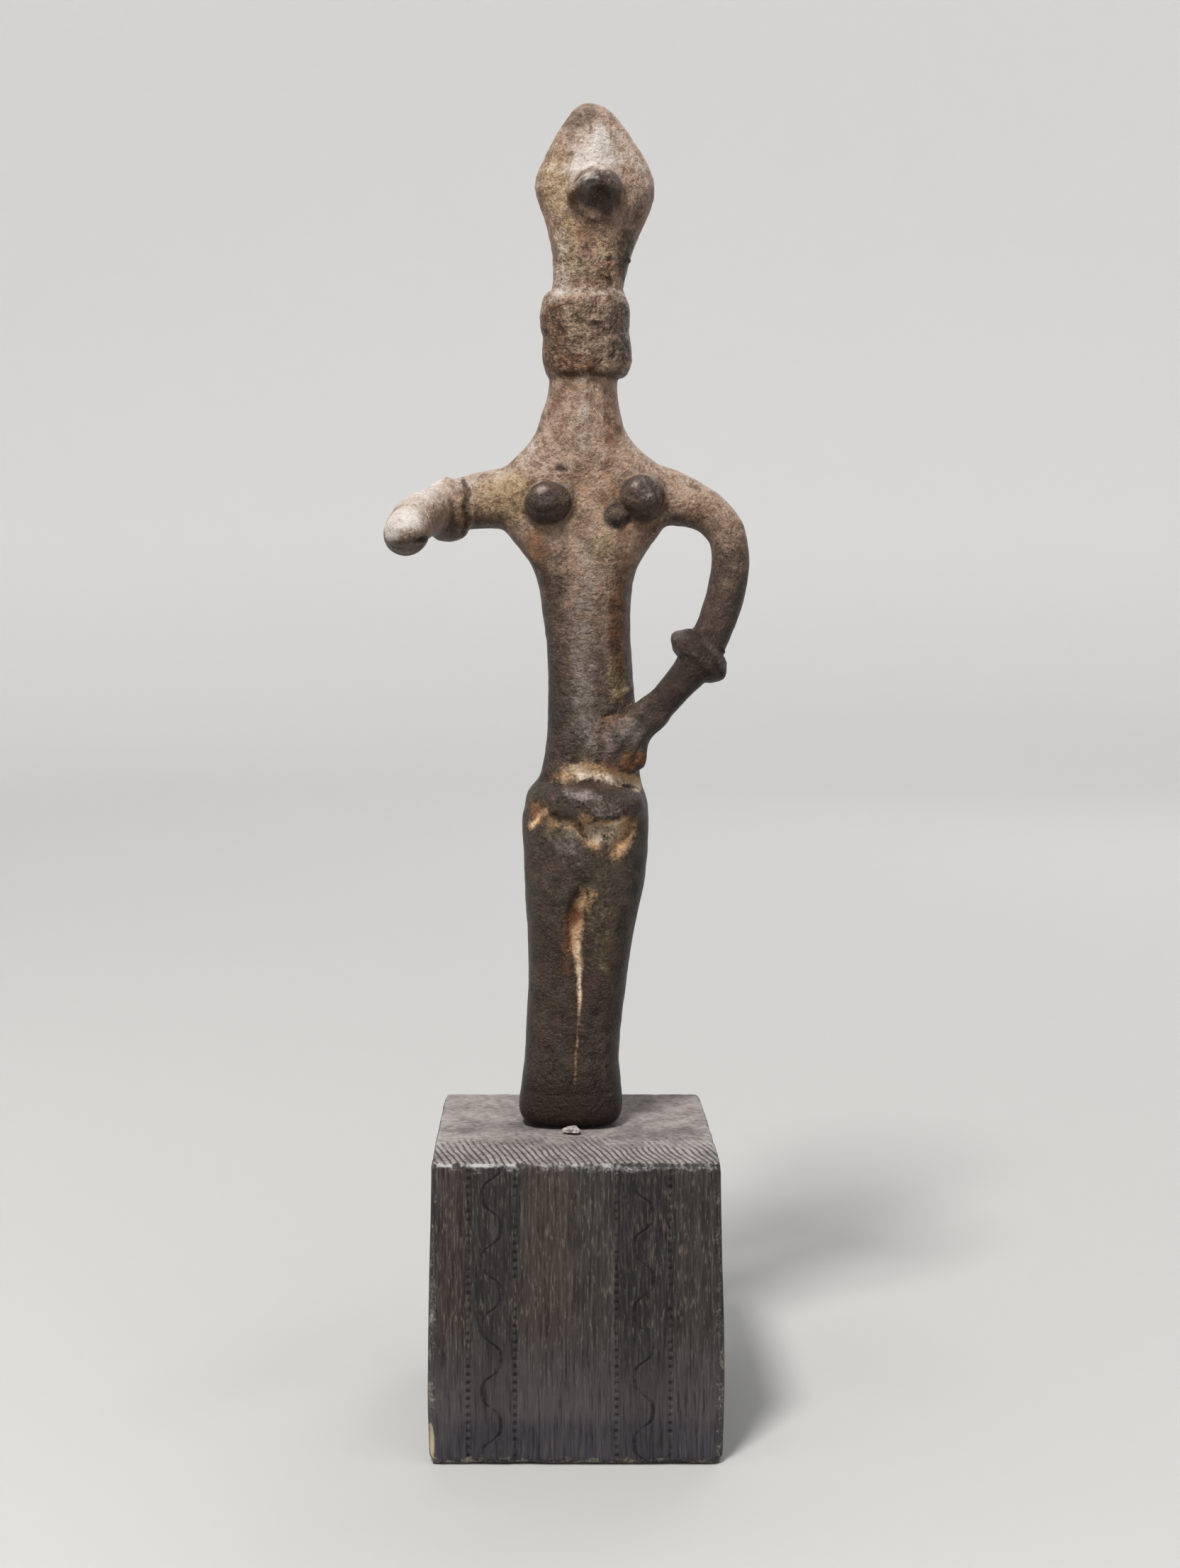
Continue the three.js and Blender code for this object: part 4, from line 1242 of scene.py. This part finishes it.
# %% Measure the wood
wood, tree, shader = new_material("stained wood")
here = in_millimetres(tree)
axes = add("SeparateXYZ", {0: here})
facing_way = add("SeparateXYZ", {0: add("NewGeometry", {}, tree)["True Normal"]})
is_top = ramp(facing_way["Z"], 0.55, 0.85)
is_front = ramp(facing_way["Y"], -0.75, -0.95)
drift = use_group(mottling, {"Place": here, "Coarse": 0.28, "Fine": 1.5})
along_grain = scaled(here, (1.0, 1.0, 0.055))
fibre = clouds(along_grain, 3.6, 4.0, 0.65)
streak = clouds(scaled(here, (1.0, 1.0, 0.16)), 4.4, roughness=0.6)
streaked_x = axes["X"] + 1.6 * (streak - 0.5)
# The lower third of the sides is greyer than the rest.
above = ramp(axes["Z"], 7.0, 17.0)


def span(value, low, high, soft):
    """1 between two values, easing out over `soft` at both ends."""
    return ramp(value, low - soft, low + soft) * ramp(value, high + soft, high - soft)


print(f"{len(tree.nodes)} nodes measure the wood")

# %% Paint the sides
side = mixed(ramp(clouds(along_grain, 0.55), 0.3, 0.7), (0.013, 0.011, 0.010), (0.034, 0.029, 0.026))
for low, high, tone, strength in (
    (-17.5, -12.4, (0.031, 0.021, 0.018), 0.70),
    (-11.7, -7.0, (0.018, 0.018, 0.016), 0.60),
    (-6.9, -0.4, (0.040, 0.029, 0.024), 0.70),
    (-0.4, 4.2, (0.026, 0.025, 0.021), 0.60),
    (4.4, 11.3, (0.014, 0.013, 0.012), 0.70),
    (11.4, 17.5, (0.027, 0.022, 0.019), 0.60),
):
    side = mixed(span(streaked_x, low, high, 0.6) * is_front * strength * above, side, tone)

bands = []
for middle, half, start in ((-9.9, 2.75, 2.85), (7.9, 3.15, 4.5)):
    values = {"Middle": middle, "Half Width": half, "Start": start, "Period": 7.65}
    bands.append(use_group(band, {"X": axes["X"], "Z": axes["Z"]} | values))
inside, line = (maths("MAXIMUM", *(one[label] for one in bands)) * is_front for label in ("Inside", "Line"))
line = line * film_of(0.62, drift["First"], ragged=1.3, hard=0.5)
low_tone = mixed(span(axes["Z"], -3.0, 5.2, 0.6), (0.060, 0.053, 0.057), (0.040, 0.038, 0.047))
pale_line = span(streaked_x, 4.1, 4.32, 0.12) * span(axes["Z"], 14.5, 27.5, 1.2)
for strength, tone in (
    (0.8 * (1.0 - above), low_tone),
    (0.75 * ramp(fibre, 0.48, 0.32), (0.006, 0.005, 0.005)),
    (0.55 * ramp(fibre, 0.50, 0.70), (0.084, 0.072, 0.066)),
    (ramp(streak, 0.55, 0.72) * (0.16 + 0.44 * above), (0.150, 0.124, 0.100)),
    (0.5 * pale_line * is_front, (0.120, 0.110, 0.098)),
    (0.22 * inside, (0.011, 0.010, 0.011)),
    (0.78 * line, (0.003, 0.003, 0.003)),
):
    side = mixed(strength, side, tone)
print(f"{len(tree.nodes)} nodes with the sides")

# %% Paint the top
# The saw went nearly from front to back. Its marks show best along the front of the top.
SAW_PITCH = 0.76
slant = 0.965 * axes["X"] + 0.262 * axes["Y"] + 0.9 * clouds(here, 0.22, 2.0)
saw_seen = film_of(ramp(axes["Y"], -4.0, -11.5), drift["First"], ragged=1.1, hard=0.5)
saw_dark = ramp(sine(slant * (1 / SAW_PITCH)), 0.0, 0.9) * saw_seen
top_specks = clouds(scaled(here, (0.4, 2.2, 1.0)), 1.9, 5.0, 0.7)
# Dark patches on the top to both sides of the foot are painted shadow of the figure.
painted_shadow_left = span(axes["X"], -14.5, -4.0, 2.5) * span(axes["Y"], -3.6, 1.6, 1.8)
painted_shadow_right = span(axes["X"], 4.5, 15.5, 2.5) * span(axes["Y"], -5.4, -0.6, 1.8)
painted_shadow = film_of(0.8 * maths("MAXIMUM", painted_shadow_left, painted_shadow_right), drift["Third"], ragged=0.9, hard=0.5)
top_cloud = film_of(0.5, drift["Second"], ragged=1.2, hard=0.5)
top_tone = mixed(top_cloud, (0.098, 0.084, 0.080), (0.215, 0.190, 0.182))
for strength, tone in (
    (0.75 * ramp(top_specks, 0.48, 0.72), (0.330, 0.298, 0.288)),
    (0.6 * ramp(top_specks, 0.46, 0.30), (0.040, 0.034, 0.032)),
    # painted shadow beside the foot
    (0.6 * painted_shadow, (0.045, 0.037, 0.035)),
    (0.85 * saw_dark, (0.018, 0.014, 0.014)),
):
    top_tone = mixed(strength, top_tone, tone)
print(f"{len(tree.nodes)} nodes with the top")

# %% Make the wood material
paint = mixed(is_top, side, top_tone)
fine_drift = use_group(mottling, {"Place": here, "Coarse": 0.8, "Fine": 3.0})
bare_film = film_of(mask_of(tree, "bare"), fine_drift["First"])
up_share = axes["Z"] / float(2 * block_half[2] / MM)
bare_tone = mixed(ramp(up_share, 0.3, 0.6), (0.400, 0.350, 0.250), (0.330, 0.325, 0.320))
paint = mixed(0.85 * bare_film, paint, bare_tone)
notch_film = film_of(mask_of(tree, "notched"), fine_drift["Second"], ragged=0.4)
paint = mixed(0.8 * notch_film, paint, (0.016, 0.013, 0.013))
pores = use_group(grain, {"Place": along_grain, "Size": 5.0, "Pits": 0.5, "Pit Size": 1.6})
relief = (pores["Height"] - 1.2 * line) * (1.0 - is_top) + (top_specks - 1.1 * saw_dark) * is_top
finish_material(
    plinth.data,
    wood,
    shader,
    {
        "Base Color": paint,
        "Roughness": maths("ADD", 0.62 + 0.2 * fibre, 0.15 * is_top, clamp=True),
        "Specular IOR Level": 0.2,
        "Normal": bumped(relief, 0.6, 0.18 * MM),
    },
)

# %% [markdown]
# ## Adhesive
# Set adhesive is off-white, a little glossy where it is clean, and grey with dust elsewhere.

# %% Make the adhesive material
glue, tree, shader = new_material("set adhesive")
here = in_millimetres(tree)
drift = use_group(mottling, {"Place": here, "Coarse": 1.2, "Fine": 5.0})
grime = film_of(0.5, drift["First"], ragged=1.2, hard=0.4)
lumpy = use_group(grain, {"Place": here, "Size": 4.0, "Pits": 0.3, "Pit Size": 2.0})
finish_material(
    adhesive.data,
    glue,
    shader,
    {
        "Base Color": mixed(grime, (0.37, 0.34, 0.32), (0.12, 0.10, 0.092)),
        "Roughness": 0.38 + 0.3 * grime,
        "Normal": bumped(lumpy["Height"], 0.4, 0.1 * MM),
    },
)

# %% [markdown]
# ## Studio
# The photograph has one broad light, high in front and to the left, which whitens what faces up and
# leaves the undersides dark. Here a round pale sweep stands in for floor and wall from every side, so
# that no horizon crosses the picture, with a soft key above, a weak fill, and a faint even sky.

# %% Build the stage and the lights
FLAT_RADIUS, CURVE_RADIUS, WALL_TOP = 0.9, 0.7, 2.2
profile = [(FLAT_RADIUS * t, 0.0) for t in (0.0, 0.25, 0.5, 0.75, 1.0)]
for step in range(1, 13):
    angle = step / 12 * math.pi / 2
    profile.append((FLAT_RADIUS + CURVE_RADIUS * math.sin(angle), CURVE_RADIUS * (1 - math.cos(angle))))
profile.append((FLAT_RADIUS + CURVE_RADIUS, WALL_TOP))
sweep = bmesh.new()
chain = [sweep.verts.new((radius, 0, z)) for radius, z in profile]
links = [sweep.edges.new(pair) for pair in zip(chain, chain[1:])]
full_turn = {"cent": (0, 0, 0), "axis": (0, 0, 1), "angle": 2 * math.pi, "steps": 96}
bmesh.ops.spin(sweep, geom=chain + links, use_merge=True, **full_turn)
bmesh.ops.remove_doubles(sweep, verts=sweep.verts, dist=1e-5)
bmesh.ops.recalc_face_normals(sweep, faces=sweep.faces)
sweep_mesh = bpy.data.meshes.new("pale_sweep")
sweep.to_mesh(sweep_mesh)
sweep.free()
shade_smooth(sweep_mesh)
stage = placed("pale_sweep", sweep_mesh)
backdrop, tree, shader = new_material("pale backdrop")
# Less light reaches the far floor and the wall, so the paint gets paler with distance, and all looks alike.
here = add("TexCoord", {}, tree)["Object"]
distance = add("VectorMath", {0: here}, operation="LENGTH")["Value"]
paint = mixed(ramp(distance, 0.0, 1.35), (0.312, 0.310, 0.305), (0.805, 0.800, 0.790))
finish_material(sweep_mesh, backdrop, shader, {"Base Color": paint, "Roughness": 0.9})


def soft_light(name, at, aim, size, watts, tint):
    lamp = bpy.data.lights.new(name, "AREA")
    lamp.shape = "DISK"
    lamp.size = size
    lamp.energy = watts
    lamp.color = tint
    made = placed(name, lamp)
    made.location = at
    made.rotation_euler = (Vector(aim) - Vector(at)).to_track_quat("-Z", "Y").to_euler()


MIDDLE = (0, 0, 0.1)
soft_light("key", (-0.13, -0.27, 0.54), MIDDLE, 0.11, 5.2, (1.0, 0.985, 0.96))
soft_light("fill", (0.55, -0.5, 0.25), MIDDLE, 0.5, 0.2, (0.94, 0.97, 1.0))
soft_light("back", (0.35, 0.6, 0.55), MIDDLE, 0.4, 1.2, (0.96, 0.98, 1.0))
for turn in range(3):
    angle = turn * 2 * math.pi / 3 + math.pi / 2
    at = (0.5 * math.cos(angle), 0.5 * math.sin(angle), 1.9)
    aim = (1.6 * math.cos(angle), 1.6 * math.sin(angle), 0.7)
    soft_light(f"wall wash {turn + 1}", at, aim, 0.5, 9.0, (1.0, 1.0, 1.0))
sky = bpy.data.worlds.new("even sky")
sky.use_nodes = True
sky.node_tree.nodes["Background"].inputs["Color"].default_value = (0.9, 0.92, 0.95, 1)
sky.node_tree.nodes["Background"].inputs["Strength"].default_value = 0.08
bpy.context.scene.world = sky
bpy.context.scene.view_settings.view_transform = "Standard"

# %% [markdown]
# ## Put the pieces on the body
# Each piece rides on the part's one body, and the CAD node that it stands for is hidden.

for piece, node_name, slot_name in (
    (idol, "idol", "patinated_bronze"),
    (plinth, "plinth", "stained_wood"),
    (adhesive, "adhesive_dab", "pale_adhesive"),
):
    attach(piece, "root")
    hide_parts(node_name)
